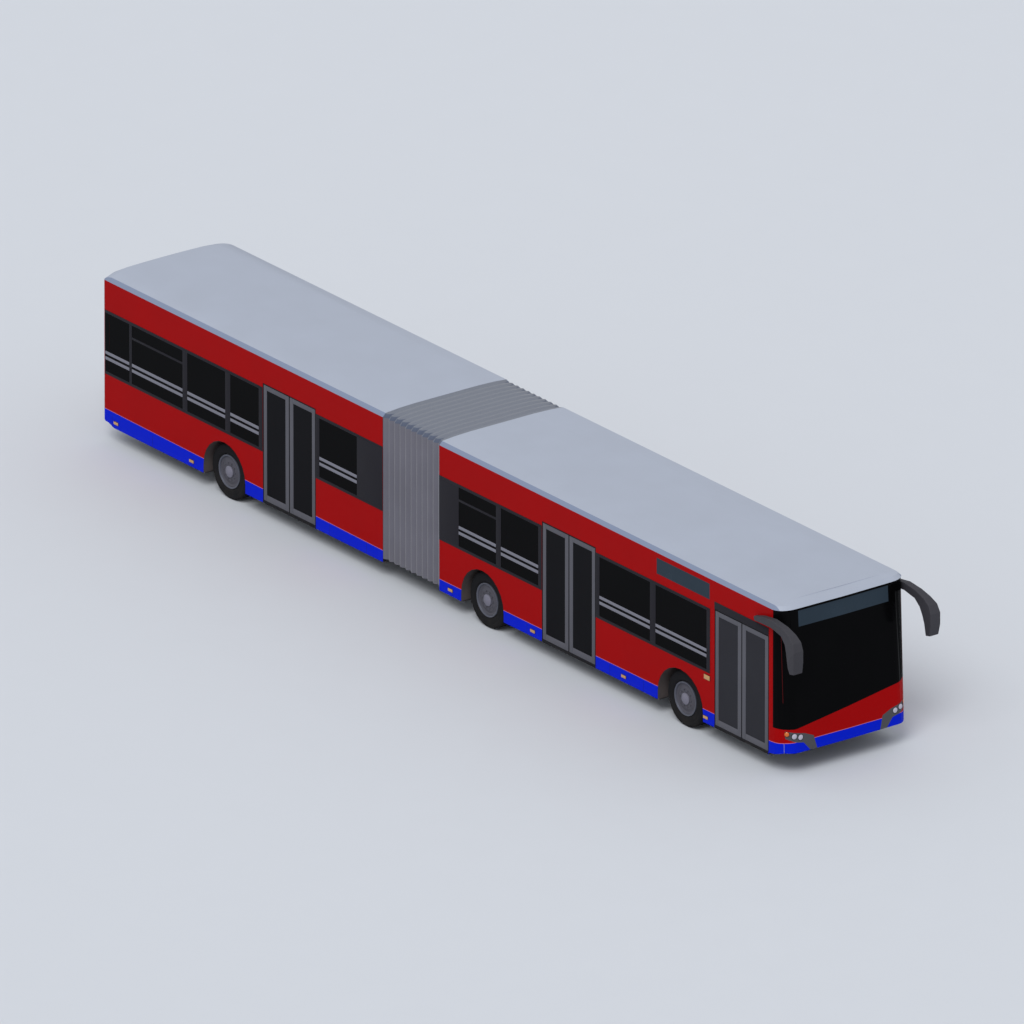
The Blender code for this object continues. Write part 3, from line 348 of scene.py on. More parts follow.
@dataclass(frozen=True)
class Finish:
    """A plain finish with grain, tone, dust and rubbed edges."""

    name: str
    base: Colour
    roughness: float
    metallic: float = 0.0
    coat: float = 0.0
    specular: float = 0.5
    grain_scale: float = 220.0
    grain_depth: float = 0.0004
    tone: float = 0.06
    dust: float = 0.0
    dust_top: float = 0.9
    wear: float = 0.0
    dust_colour: Colour = colour(122, 112, 100)
    wear_colour: Colour = colour(150, 150, 152)

    @cache
    def material(self) -> bpy.types.Material:
        """The finish as a material, made at its first use.

        Returns:
            The material.
        """
        made = bpy.data.materials.new(self.name)
        made.use_nodes = True
        net = Net(made.node_tree)
        place = net.object_place()
        grain = net.add("Group", {"Vector": place, "Scale": self.grain_scale}, node_tree=ShaderGroups.grain())
        tone = grain.outputs["Tone"]
        painted = self.painted(net, place, tone)
        rough = net.spread(tone, 0.0, 1.0, max(LEAST_ROUGHNESS, self.roughness - ROUGHNESS_SWING),
                           self.roughness + ROUGHNESS_SWING)
        if self.wear:
            wear = net.add("Group", {"Vector": place, "Amount": self.wear}, node_tree=ShaderGroups.wear())
            painted = net.mix(wear.outputs["Mask"], painted, self.wear_colour)
        if self.dust:
            dust = net.add("Group", {"Vector": place, "Amount": self.dust, "Top Height": self.dust_top},
                           node_tree=ShaderGroups.dust()).outputs["Mask"]
            painted = net.mix(dust, painted, self.dust_colour)
            rough = net.math("ADD", rough, net.product(dust, DUST_ROUGHNESS), True)
        bump = net.add("Bump", {"Height": self.relief(net, place, grain.outputs["Height"]),
                                "Strength": BUMP_STRENGTH, "Distance": self.grain_depth})
        net.fill(made.node_tree.nodes["Principled BSDF"].inputs, {
            **self.settings(), "Base Color": painted, "Roughness": rough, "Normal": bump.outputs[0]})
        return made

    def settings(self) -> dict[str, float]:
        """What is the same all over the surface, by input name."""
        return {"Metallic": self.metallic, "Coat Weight": self.coat, "Coat Roughness": COAT_ROUGHNESS,
                "Specular IOR Level": self.specular}

    def shaded(self, share: float) -> Colour:
        """The base colour made darker or lighter by a share."""
        return (*[channel * share for channel in self.base[:3]], 1.0)

    def painted(self, net: Net, place: Socket, tone: Socket) -> Socket:
        """The colour before wear and dust."""
        return net.mix(tone, self.shaded(1 - self.tone), self.shaded(1 + self.tone))

    def relief(self, net: Net, place: Socket, grain: Socket) -> Socket:
        """The height that drives the bump."""
        return grain


@dataclass(frozen=True)
class CoachPaint(Finish):
    """Gloss paint in the body colour above a coloured skirt band with a fine line along its top."""

    lined_and_jamb_shaded: bool = False
    # Dark grey for wall faces set in from the outer skin: the walls' own inside colour, and painted shade on
    # the door jambs.
    lining_and_jamb_shade: Colour = colour(44, 43, 47)
    band: Colour = colour(4, 30, 193)
    line: Colour = colour(196, 118, 112)
    line_height: float = 0.007
    lining_and_shade_depth: float = 0.002
    stops: tuple[Pair, ...] = (
        (18.0, 0.575), (10.46, 0.505), (8.94, 0.50), (1.62, 0.53), (0.20, 0.545), (0.0, 0.552),
        (-0.25, 0.585),
    )

    def band_top(self, net: Net, place: Socket) -> Socket:
        """The height of the band's top edge at each place along the bus.

        Args:
            net: the material's nodes.
            place: the place on the piece.

        Returns:
            The height.
        """
        low, high = x_at(self.stops[0][0]), x_at(self.stops[-1][0])
        ramp = net.add("ValToRGB", {0: net.spread(net.axis(place, "X"), low, high)})
        elements = ramp.color_ramp.elements
        while len(elements) < len(self.stops):
            elements.new(0.5)
        for element, (distance, height) in zip(elements, self.stops):
            element.position = (x_at(distance) - low) / (high - low)
            element.color = (height, height, height, 1.0)
        return ramp.outputs[0]

    def painted(self, net: Net, place: Socket, tone: Socket) -> Socket:
        """Body colour above, a fine line and the band below, and dark grey on wall faces set in from the
        outer skin: the walls' own inside colour, and painted shade on the door jambs.

        Args:
            net: the material's nodes.
            place: the place on the piece.
            tone: the slow change of tone.

        Returns:
            The colour before wear and dust.
        """
        over = net.math("SUBTRACT", net.axis(place, "Z"), self.band_top(net, place))
        half = self.line_height / 2
        outside = net.layers(super().painted(net, place, tone), over, Test.BELOW,
                             (half, self.line), (-half, self.band))
        if not self.lined_and_jamb_shaded:
            return outside
        # Painted shade on the door jambs, together with the walls' inside faces: every wall face set in from
        # the outer skin turns dark grey.
        across = net.math("ABSOLUTE", net.axis(place, "Y"))
        return net.layers(outside, across, Test.BELOW, (HALF_WIDTH - self.lining_and_shade_depth, self.lining_and_jamb_shade))


@dataclass(frozen=True)
class RoofPaint(Finish):
    """Pale roof paint with darker painted shade on the bevels along both sides."""

    # Painted shade: the darker colour of the bevels.
    bevel: Colour = colour(126, 136, 158)
    shaded_bevel_start: float = HALF_WIDTH - ROOF_BEVEL + 0.001

    def painted(self, net: Net, place: Socket, tone: Socket) -> Socket:
        """The roof colour with painted shade on its bevels."""
        across, base = net.math("ABSOLUTE", net.axis(place, "Y")), super().painted(net, place, tone)
        return net.layers(base, across, Test.ABOVE, (self.shaded_bevel_start, self.bevel))


@dataclass(frozen=True)
class Glass(Finish):
    """Tinted glass that lets a little of the inside show."""

    transmission: float = 0.03

    def settings(self) -> dict[str, float]:
        """What is the same all over the surface, by input name."""
        return {**super().settings(), "Transmission Weight": self.transmission, "IOR": GLASS_IOR}


@dataclass(frozen=True)
class Cloth(Finish):
    """Woven or coated cloth."""

    weave: Weave = Weave.SEAT
    sheen: float = 0.2
    grain_share: float = 0.3

    def settings(self) -> dict[str, float]:
        """What is the same all over the surface, by input name."""
        return {**super().settings(), "Sheen Weight": self.sheen}

    def relief(self, net: Net, place: Socket, grain: Socket) -> Socket:
        """The threads, with a little of the grain.

        Args:
            net: the material's nodes.
            place: the place on the piece.
            grain: the fine grain's height.

        Returns:
            The height that drives the bump.
        """
        threads = {"Vector": place, "Threads": self.weave.value}
        weave = net.add("Group", threads, node_tree=ShaderGroups.weave())
        return net.math("ADD", weave.outputs["Height"], net.product(grain, self.grain_share))


@dataclass(frozen=True)
class BellowsCloth(Cloth):
    """Coated cloth with darker painted shade along the bevels and paler painted light on top, at heights that
    no bend changes.
    """

    # Painted shade: the darker colour of the bevels.
    bevel: Colour = colour(84, 91, 108)
    # Painted light: the paler colour of the top.
    top: Colour = colour(113, 117, 127)
    shade_and_light_heights: Pair = (EAVES_Z - 0.008, EAVES_Z + ROOF_BEVEL - 0.012)

    def painted(self, net: Net, place: Socket, tone: Socket) -> Socket:
        """The cloth's colour with painted shade on its bevels and painted light on its top."""
        base, (low, high) = super().painted(net, place, tone), self.shade_and_light_heights
        return net.layers(base, net.axis(place, "Z"), Test.ABOVE, (low, self.bevel), (high, self.top))


BODY_PAINT = CoachPaint("coach_paint", colour(153, 7, 9), 0.36, tone=0.03, specular=0.03, grain_scale=90.0,
                        grain_depth=0.0002, dust=0.06, dust_top=0.6)
# The walls' paint turns dark grey on faces set in from the outer skin: their inside colour, and painted shade
# on the door jambs.
WALL_PAINT = replace(BODY_PAINT, name="wall_paint", lined_and_jamb_shaded=True)
# The roof paint carries painted shade on its bevels.
ROOF_PAINT = RoofPaint("pale_roof_paint", colour(166, 172, 185), 0.5, tone=0.025, grain_scale=120.0,
                       specular=0.15, grain_depth=0.0003)
WINDOW_GLASS = Glass("window_glass", colour(6, 6, 7), 0.14, specular=0.02, grain_depth=0.00005, tone=0.1)
DOOR_GLASS = Glass("door_glass", colour(20, 20, 23), 0.16, specular=0.02, grain_depth=0.00005)
FRONT_DOOR_GLASS = replace(DOOR_GLASS, name="front_door_glass", base=colour(46, 46, 51), specular=0.03)
FRAME_PLASTIC = Finish("frame_plastic", colour(38, 37, 42), 0.55, grain_scale=400.0, wear=0.12,
                       specular=0.06)
RAIL_METAL = Finish("rail_metal", colour(118, 118, 128), 0.4, grain_scale=300.0, wear=0.2, specular=0.15)
DOOR_METAL = Finish("door_frame_paint", colour(86, 86, 93), 0.42, grain_scale=300.0, wear=0.3, dust=0.1,
                    specular=0.12)
SEAL_RUBBER = Finish("seal_rubber", colour(26, 26, 29), 0.75, grain_scale=500.0, dust=0.1, specular=0.1)
# The bellows cloth and its end frames carry painted shade on their bevels and painted light on their tops.
BELLOWS_CLOTH = BellowsCloth("bellows_cloth", colour(102, 101, 110), 0.8, grain_scale=160.0,
                             grain_depth=0.0012, dust=0.12, dust_top=1.1, weave=Weave.COATED, specular=0.1)
BELLOWS_FRAME = replace(BELLOWS_CLOTH, name="bellows_frame_cloth", base=colour(96, 97, 108))
TYRE_RUBBER = Finish("tread_rubber", colour(25, 25, 27), 0.85, grain_scale=350.0, grain_depth=0.001,
                     tone=0.12, dust=0.08, dust_top=0.8, specular=0.1)
RIM_PAINT = Finish("rim_paint", colour(84, 86, 97), 0.4, metallic=0.15, wear=0.3, dust=0.1, specular=0.25)
DISC_PAINT = replace(RIM_PAINT, name="disc_paint", base=colour(76, 75, 83), roughness=0.45)
HUB_METAL = Finish("hub_metal", colour(118, 116, 129), 0.4, metallic=0.2, wear=0.4, specular=0.3)
LINER_PLASTIC = Finish("liner_plastic", colour(80, 73, 72), 0.85, grain_scale=150.0, grain_depth=0.002,
                       tone=0.15, dust=0.15, dust_top=1.2, specular=0.1)
DISPLAY_PANEL = Finish("display_glass", colour(46, 57, 67), 0.25, grain_scale=30.0, grain_depth=0.0001,
                       tone=0.05, specular=0.04)
LAMP_HOUSING = Finish("lamp_housing", colour(70, 70, 74), 0.35, grain_scale=260.0, wear=0.2, dust=0.1,
                      specular=0.2)
WHITE_LENS = Finish("white_lens", colour(172, 168, 182), 0.12, coat=0.3, grain_scale=60.0,
                    grain_depth=0.0015)
AMBER_LENS = replace(WHITE_LENS, name="amber_lens", base=colour(200, 98, 10), roughness=0.15)
MARKER_LENS = replace(AMBER_LENS, name="marker_lens", base=colour(186, 138, 84))
RED_LENS = replace(AMBER_LENS, name="red_lens", base=colour(160, 14, 14))
MIRROR_PLASTIC = Finish("mirror_plastic", colour(58, 57, 62), 0.6, grain_scale=500.0, grain_depth=0.0008,
                        wear=0.3, tone=0.08, specular=0.2)
MIRROR_GLASS = Finish("mirror_glass", colour(150, 155, 162), 0.04, metallic=0.9, grain_depth=0.00002,
                      tone=0.03)
# Painted highlight: a pale line down the nose's rounded corners, in the skirt band.
NOSE_CORNER_HIGHLIGHT = Finish("painted_corner_highlight", colour(160, 156, 162), 0.5, grain_scale=300.0, specular=0.1)
SEAM_RED = replace(NOSE_CORNER_HIGHLIGHT, name="seam_red", base=colour(96, 12, 14))
FLOOR_SHEET = Finish("floor_sheet", colour(74, 70, 70), 0.8, grain_scale=180.0, grain_depth=0.001,
                     tone=0.12, dust=0.1, dust_top=0.6)
CHASSIS_PAINT = Finish("chassis_paint", colour(46, 44, 45), 0.6, metallic=0.2, grain_scale=90.0,
                       grain_depth=0.002, wear=0.4, dust=0.3, dust_top=0.9, specular=0.2)
SEAT_CLOTH = Cloth("seat_cloth", colour(38, 50, 104), 0.85, grain_scale=120.0, grain_depth=0.0015,
                   tone=0.15)
CAB_PLASTIC = Finish("cab_plastic", colour(50, 50, 54), 0.65, grain_scale=450.0, grain_depth=0.001,
                     wear=0.25)
ENGINE_CASTING = Finish("engine_casting", colour(96, 97, 100), 0.6, metallic=0.6, grain_scale=70.0,
                        grain_depth=0.003, tone=0.2, wear=0.4, dust=0.3, dust_top=1.4)
POLE_STEEL = Finish("pole_steel", colour(170, 172, 176), 0.25, metallic=0.9, grain_scale=500.0, tone=0.04)
PLATE_WHITE = Finish("plate_white", colour(205, 205, 200), 0.35, grain_scale=300.0, dust=0.2)
STUDIO_FLOOR = Finish("studio_floor", colour(206, 209, 214), 0.75, grain_scale=6.0, grain_depth=0.0002,
                      tone=0.003, specular=0.2)


class Shape:
    """One mesh under construction, which becomes a piece of the bus."""

    def __init__(self) -> None:
        """Start an empty mesh."""
        self.bm = bmesh.new()

    def loft(self, rings: list[list[Point | Vector]], looped: bool = False) -> "Shape":
        """Join rings of points with quads.

        Args:
            rings: closed rings with the same number of points.
            looped: join the last ring to the first one, instead of a face at each end.

        Returns:
            The shape itself.
        """
        rows = [[self.bm.verts.new(point) for point in ring] for ring in rings]
        pairs = list(zip(rows, rows[1:]))
        if looped:
            pairs.append((rows[-1], rows[0]))
        for first, second in pairs:
            for index in range(len(first)):
                after = (index + 1) % len(first)
                self.bm.faces.new((first[index], first[after], second[after], second[index]))
        if not looped:
            self.bm.faces.new(rows[0])
            self.bm.faces.new(rows[-1])
        return self

    def box(self, xs: Pair, ys: Pair, zs: Pair, bevel: float = 0.0) -> "Shape":
        """A box with rounded edges.

        Args:
            xs: where it starts and ends along X, in either order.
            ys: the same along Y.
            zs: the same along Z.
            bevel: the radius of the edges.

        Returns:
            The shape itself.
        """
        (x0, x1), (y0, y1) = sorted(xs), sorted(ys)
        before = set(self.bm.edges)
        self.loft([[(x0, y0, z), (x1, y0, z), (x1, y1, z), (x0, y1, z)] for z in sorted(zs)])
        if bevel:
            edges = [edge for edge in self.bm.edges if edge not in before]
            bmesh.ops.bevel(self.bm, geom=edges, offset=bevel, segments=EDGE_SEGMENTS, affect="EDGES",
                            profile=0.5)
        return self

    def tube(self, points: list[Point | Vector], radius: float, sides: int = 10) -> "Shape":
        """A round bar along a line of points.

        Args:
            points: the line.
            radius: the bar's radius.
            sides: the number of faces round it.

        Returns:
            The shape itself.
        """
        line = [Vector(point) for point in points]
        rings = []
        for index, point in enumerate(line):
            way = (line[min(index + 1, len(line) - 1)] - line[max(index - 1, 0)]).normalized()
            aside = way.orthogonal() if abs(way.y) > 0.9 else way.cross(Vector((0, 1, 0)))
            first = aside.normalized()
            rings.append([point + out * radius for out in spokes(first, way.cross(first), sides)])
        return self.loft(rings)

    def turned(self, profile: list[Pair], centre: Vector, axis: Vector, sides: int,
               dips: dict[int, float] | None = None) -> "Shape":
        """Turn a profile about an axis.

        Args:
            profile: pairs of a radius and a place along the axis.
            centre: where the axis starts.
            axis: its direction, one metre long.
            sides: the number of faces round it.
            dips: for some rows of the profile, how far every other pair of points lies inwards.

        Returns:
            The shape itself.
        """
        first = axis.orthogonal().normalized()
        directions = spokes(first, axis.cross(first), sides)
        rows = []
        for number, (radius, along) in enumerate(profile):
            middle, dip = centre + axis * along, (dips or {}).get(number, 0.0)
            if radius == 0:
                rows.append([self.bm.verts.new(middle)])
            else:
                rows.append([self.bm.verts.new(middle + out * (radius - dip * (step % 4 < 2)))
                             for step, out in enumerate(directions)])
        pairs = list(zip(rows, rows[1:]))
        if len(rows[0]) > 1 and len(rows[-1]) > 1:
            pairs.append((rows[-1], rows[0]))
        for upper, lower in pairs:
            for step in range(sides):
                after = (step + 1) % sides
                if len(upper) == 1:
                    self.bm.faces.new((upper[0], lower[after], lower[step]))
                elif len(lower) == 1:
                    self.bm.faces.new((upper[step], upper[after], lower[0]))
                else:
                    self.bm.faces.new((upper[step], upper[after], lower[after], lower[step]))
        return self

    def piece(self, name: str, finish: Finish, body: str, slot: str = "", replaces: tuple[str, ...] = (),
              smooth: float = SMOOTH_ANGLE) -> bpy.types.Object:
        """Turn the mesh into a piece that rides on a body.

        Args:
            name: the piece's name.
            finish: what it looks like.
            body: the CAD body that carries it.
            slot: not used.
            replaces: the CAD nodes that it stands for.
            smooth: edges flatter than this angle, in degrees, look round.

        Returns:
            The new object.
        """
        bmesh.ops.recalc_face_normals(self.bm, faces=self.bm.faces[:])
        mesh = bpy.data.meshes.new(name)
        self.bm.to_mesh(mesh)
        self.bm.free()
        mesh.shade_smooth()
        mesh.set_sharp_from_angle(angle=math.radians(smooth))
        made = bpy.data.objects.new(name, mesh)
        bpy.context.scene.collection.objects.link(made)
        made.data.materials.append(finish.material())
        if replaces:
            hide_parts(*replaces)
        if body:
            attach(made, body)
        LOG.info("%s on %s", name, body or "two bodies")
        return made


def side_box(shape: Shape, side: Side, span: Pair, depths: Pair, heights: Pair, bevel: float = 0.0) -> None:
    """Add a box on one side of the bus.

    Args:
        shape: the mesh that it goes into.
        side: which side.
        span: where it starts and ends, as distances behind the station.
        depths: how far its two faces stand out from the body's side, inwards negative.
        heights: its lowest and its highest point.
        bevel: the radius of its edges.
    """
    ys = tuple(side.value * (HALF_WIDTH + depth) for depth in depths)
    shape.box((x_at(span[1]), x_at(span[0])), ys, heights, bevel)


class Surface:
    """The outside of a CAD node at one end of the bus, to set small pieces on it."""

    def __init__(self, node: str, end: End) -> None:
        """Read the node's mesh.

        Args:
            node: the node's name.
            end: the end of the bus that it is looked at from.
        """
        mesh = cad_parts[node].data
        self.tree = BVHTree.FromPolygons([vertex.co[:] for vertex in mesh.vertices],
                                         [face.vertices[:] for face in mesh.polygons])
        self.start_x = STATION_X + end.value
        self.way = Vector((-math.copysign(1, end.value), 0, 0))

    def meet(self, y: float, z: float) -> tuple[Vector, Vector]:
        """Where a line along the bus first meets the surface.

        Args:
            y: the line's place across the bus.
            z: its height.

        Returns:
            The place, and the way that the surface faces there.
        """
        place, normal, _, _ = self.tree.ray_cast(Vector((self.start_x, y, z)), self.way)
        if place is None:
            raise ValueError(f"no surface at {y}, {z}")
        return place, normal if normal.dot(self.way) < 0 else -normal

    def strip(self, y: float, heights: Pair, outline: tuple[Pair, ...]) -> list[list[Point]]:
        """Rings of an upright strip that follows the surface.

        Args:
            y: its place across the bus.
            heights: where it starts and ends.
            outline: its section as pairs of steps along X from the surface and along Y.

        Returns:
            The ring at each end.
        """
        ends = [self.meet(y, z)[0] for z in heights]
        return [[(end.x + dx, y + dy, end.z) for dx, dy in outline] for end in ends]


def dress(names: tuple[str, ...], finish: Finish, round_edges: float = 0.0) -> None:
    """Give CAD nodes a finish, and round their edges if asked.

    Args:
        names: the nodes.
        finish: what they look like.
        round_edges: the radius of their edges.
    """
    for name in names:
        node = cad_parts[name]
        node.data.materials.clear()
        node.data.materials.append(finish.material())
        if round_edges:
            weld = node.modifiers.new("weld", "WELD")
            weld.merge_threshold = GAP / 3
            bevel = node.modifiers.new("bevel", "BEVEL")
            bevel.width = round_edges
            bevel.segments = EDGE_SEGMENTS
            bevel.limit_method = "ANGLE"
            bevel.angle_limit = math.radians(SMOOTH_ANGLE)
        LOG.info("%s dressed in %s", name, finish.name)


@dataclass
class BodyPanels:
    """The painted shell: walls, nose, tail, engine lid and roofs."""

    ends: tuple[str, ...] = ("nose", "tail", "engine_lid")
    walls: tuple[str, ...] = ("front_right_wall", "front_left_wall", "rear_right_wall", "rear_left_wall")
    roofs: tuple[str, ...] = ("front_roof", "rear_roof")
    flap_heights: Pair = (0.305, 0.50)
    flap_depths: Pair = (-0.001, 0.0004)
    flap_gap: float = 0.004
    flaps: tuple[tuple[Section, Side, tuple[float, ...]], ...] = (
        (Section.FRONT, Side.RIGHT, (3.5, 4.4, 6.6, 8.6)),
        (Section.FRONT, Side.LEFT, (0.5, 1.5, 3.5, 4.4, 5.6, 6.6, 8.6)),
        (Section.REAR, Side.RIGHT, (10.9, 11.9, 15.6, 16.7, 17.8)),
        (Section.REAR, Side.LEFT, (10.9, 11.9, 13.0, 15.6, 16.7, 17.8)),
    )

    def build(self) -> None:
        """Paint the shell and draw the joints of the skirt flaps."""
        dress(self.ends, BODY_PAINT)
        dress(self.walls, WALL_PAINT)
        dress(self.roofs, ROOF_PAINT)
        for section, side, places in self.flaps:
            shape = Shape()
            for place in places:
                side_box(shape, side, about(place, self.flap_gap), self.flap_depths, self.flap_heights)
            shape.piece(f"flap_joints_{section.name}_{side.name}".lower(), SEAL_RUBBER, section.value)


@dataclass(frozen=True)
class RoofLevel:
    """One level of the rear roof: its height and half width, its end's lean and its corners' size."""

    height: float
    half: float
    lean: float
    along: float
    across: float


@dataclass
class RearRoof:
    """The roof of the rear section, rounded at its rear corners and leaning in a little above the tail."""

    levels: tuple[RoofLevel, ...] = (
        RoofLevel(EAVES_Z, HALF_WIDTH, 0.0, 0.09, 0.20),
        RoofLevel(EAVES_Z + ROOF_BEVEL, HALF_WIDTH - ROOF_BEVEL, 0.008, 0.22, 0.29),
        RoofLevel(EAVES_Z + ROOF_BEVEL + ROOF_CROWN * 2 / 3, 0.956, 0.018, 0.17, 0.22),
        RoofLevel(EAVES_Z + ROOF_BEVEL + ROOF_CROWN, 0.637, 0.028, 0.12, 0.15),
    )
    bow: float = 0.009
    corner_steps: int = 12

    def outline(self, level: RoofLevel) -> list[Point]:
        """The roof's edge at one level, seen from above.

        Args:
            level: the level.

        Returns:
            The points in order, from the front on the right side round the tail to the left side.
        """
        low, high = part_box("rear_roof")
        end = low.x + self.bow + level.lean
        right = [(high.x, -level.half, level.height)]
        for step in range(self.corner_steps + 1):
            angle = math.pi / 2 * step / self.corner_steps
            right.append((end + level.along * (1 - math.sin(angle)),
                          -level.half + level.across * (1 - math.cos(angle)), level.height))
        return right + [(end - self.bow, 0.0, level.height)] + [(x, -y, z) for x, y, z in reversed(right)]

    def build(self) -> None:
        """Build the roof in place of its solid."""
        shape = Shape().loft([self.outline(level) for level in self.levels])
        shape.piece("rear_roof_cover", ROOF_PAINT, "rear_section", "roof_paint", ("rear_roof",))


@dataclass(frozen=True)
class Window:
    """One side window between its pillars."""

    start_d: float
    end_d: float
    hopper: bool = False


@dataclass(frozen=True)
class WindowBand:
    """A stretch of windows in one frame on one side of a section."""

    name: str
    section: Section
    side: Side
    start_d: float
    end_d: float
    windows: tuple[Window, ...]


REAR_WINDOWS = (Window(13.80, 14.57), Window(14.71, 15.74), Window(15.87, 17.25, True), Window(17.32, 17.975))
REAR_FIRST_WINDOW = Window(11.15, 12.16)
FRONT_LAST_WINDOWS = (Window(6.292, 7.288), Window(7.42, 8.416, True))
FRONT_FIRST_WINDOWS = (Window(1.835, 3.180), Window(3.329, 4.666))


@dataclass
class SideGlazing:
    """Frames, opening lights and rails over the glass of both sides."""

    base: float = 0.0018
    proud: float = 0.005
    edge: float = 0.0015
    rail_proud: float = 0.009
    rail_heights: Pair = (1.467, 1.563)
    rail_height: float = 0.054
    rail_edge: float = 0.004
    rail_room: float = 0.001
    hopper_z: float = 2.03
    hopper_height: float = 0.04
    glass_nodes: tuple[str, ...] = ("front_right_glazing_a", "front_right_glazing_b", "front_left_glazing",
                                    "rear_right_glazing_a", "rear_right_glazing_b", "rear_left_glazing")
    bands: tuple[WindowBand, ...] = (
        WindowBand("front_right_first", Section.FRONT, Side.RIGHT, 1.745, 4.768, FRONT_FIRST_WINDOWS),
        WindowBand("front_right_last", Section.FRONT, Side.RIGHT, 6.202, 8.938, FRONT_LAST_WINDOWS),
        WindowBand("rear_right_first", Section.REAR, Side.RIGHT, 10.462, 12.263, (REAR_FIRST_WINDOW,)),
        WindowBand("rear_right_last", Section.REAR, Side.RIGHT, 13.697, 17.99, REAR_WINDOWS),
        WindowBand("front_left", Section.FRONT, Side.LEFT, 0.41, 8.938,
                   (Window(0.463, 1.616), *FRONT_FIRST_WINDOWS, Window(4.798, 6.160), *FRONT_LAST_WINDOWS)),
        WindowBand("rear_left", Section.REAR, Side.LEFT, 10.462, 17.99,
                   (REAR_FIRST_WINDOW, Window(12.29, 13.667), *REAR_WINDOWS)),
    )
    corner_pane: Pair = (17.8756, 17.987)
    corner_depths: Pair = (0.0002, 0.0015)

    def build(self) -> None:
        """Dress the glass, carry it on to the tail's corners, and build the frames and rails."""
        dress(self.glass_nodes, WINDOW_GLASS)
        for side in Side:
            pane = Shape()
            side_box(pane, side, self.corner_pane, self.corner_depths, (BAND_LOW_Z + GAP, BAND_HIGH_Z - GAP))
            pane.piece(f"corner_pane_{side.name.lower()}", WINDOW_GLASS, "rear_section")
        for band in self.bands:
            self.build_frames(band)
            self.build_rails(band)

    def build_frames(self, band: WindowBand) -> None:
        """The dark frame of one band, as bars round its windows.

        Args:
            band: the band.
        """
        shape = Shape()
        low, high = BAND_LOW_Z + WINDOW_FRAME, BAND_HIGH_Z - WINDOW_FRAME
        whole = (band.start_d, band.end_d)
        edges = [band.start_d, *(edge for window in band.windows for edge in (window.start_d, window.end_d)),
                 band.end_d]
        bars = [(whole, (BAND_LOW_Z, low)), (whole, (high, BAND_HIGH_Z))]
        bars += [(span, (low + GAP, high - GAP)) for span in zip(edges[::2], edges[1::2])]
        bars += [((window.start_d + GAP, window.end_d - GAP), about(self.hopper_z, self.hopper_height))
                 for window in band.windows if window.hopper]
        for span, heights in bars:
            side_box(shape, band.side, span, (self.base, self.proud), heights, self.edge)
        shape.piece(f"window_frames_{band.name}", FRAME_PLASTIC, band.section.value)

    def build_rails(self, band: WindowBand) -> None:
        """The two rails across each window of one band.

        Args:
            band: the band.
        """
        shape = Shape()
        for window in band.windows:
            span = (window.start_d + self.rail_room, window.end_d - self.rail_room)
            for heights in [about(height, self.rail_height) for height in self.rail_heights]:
                side_box(shape, band.side, span, (self.base, self.rail_proud), heights, self.rail_edge)
        shape.piece(f"window_rails_{band.name}", RAIL_METAL, band.section.value)


@dataclass(frozen=True)
class Doorway:
    """One double door."""

    name: str
    centre_d: float
    header_z: float
    section: Section
    glass: Finish


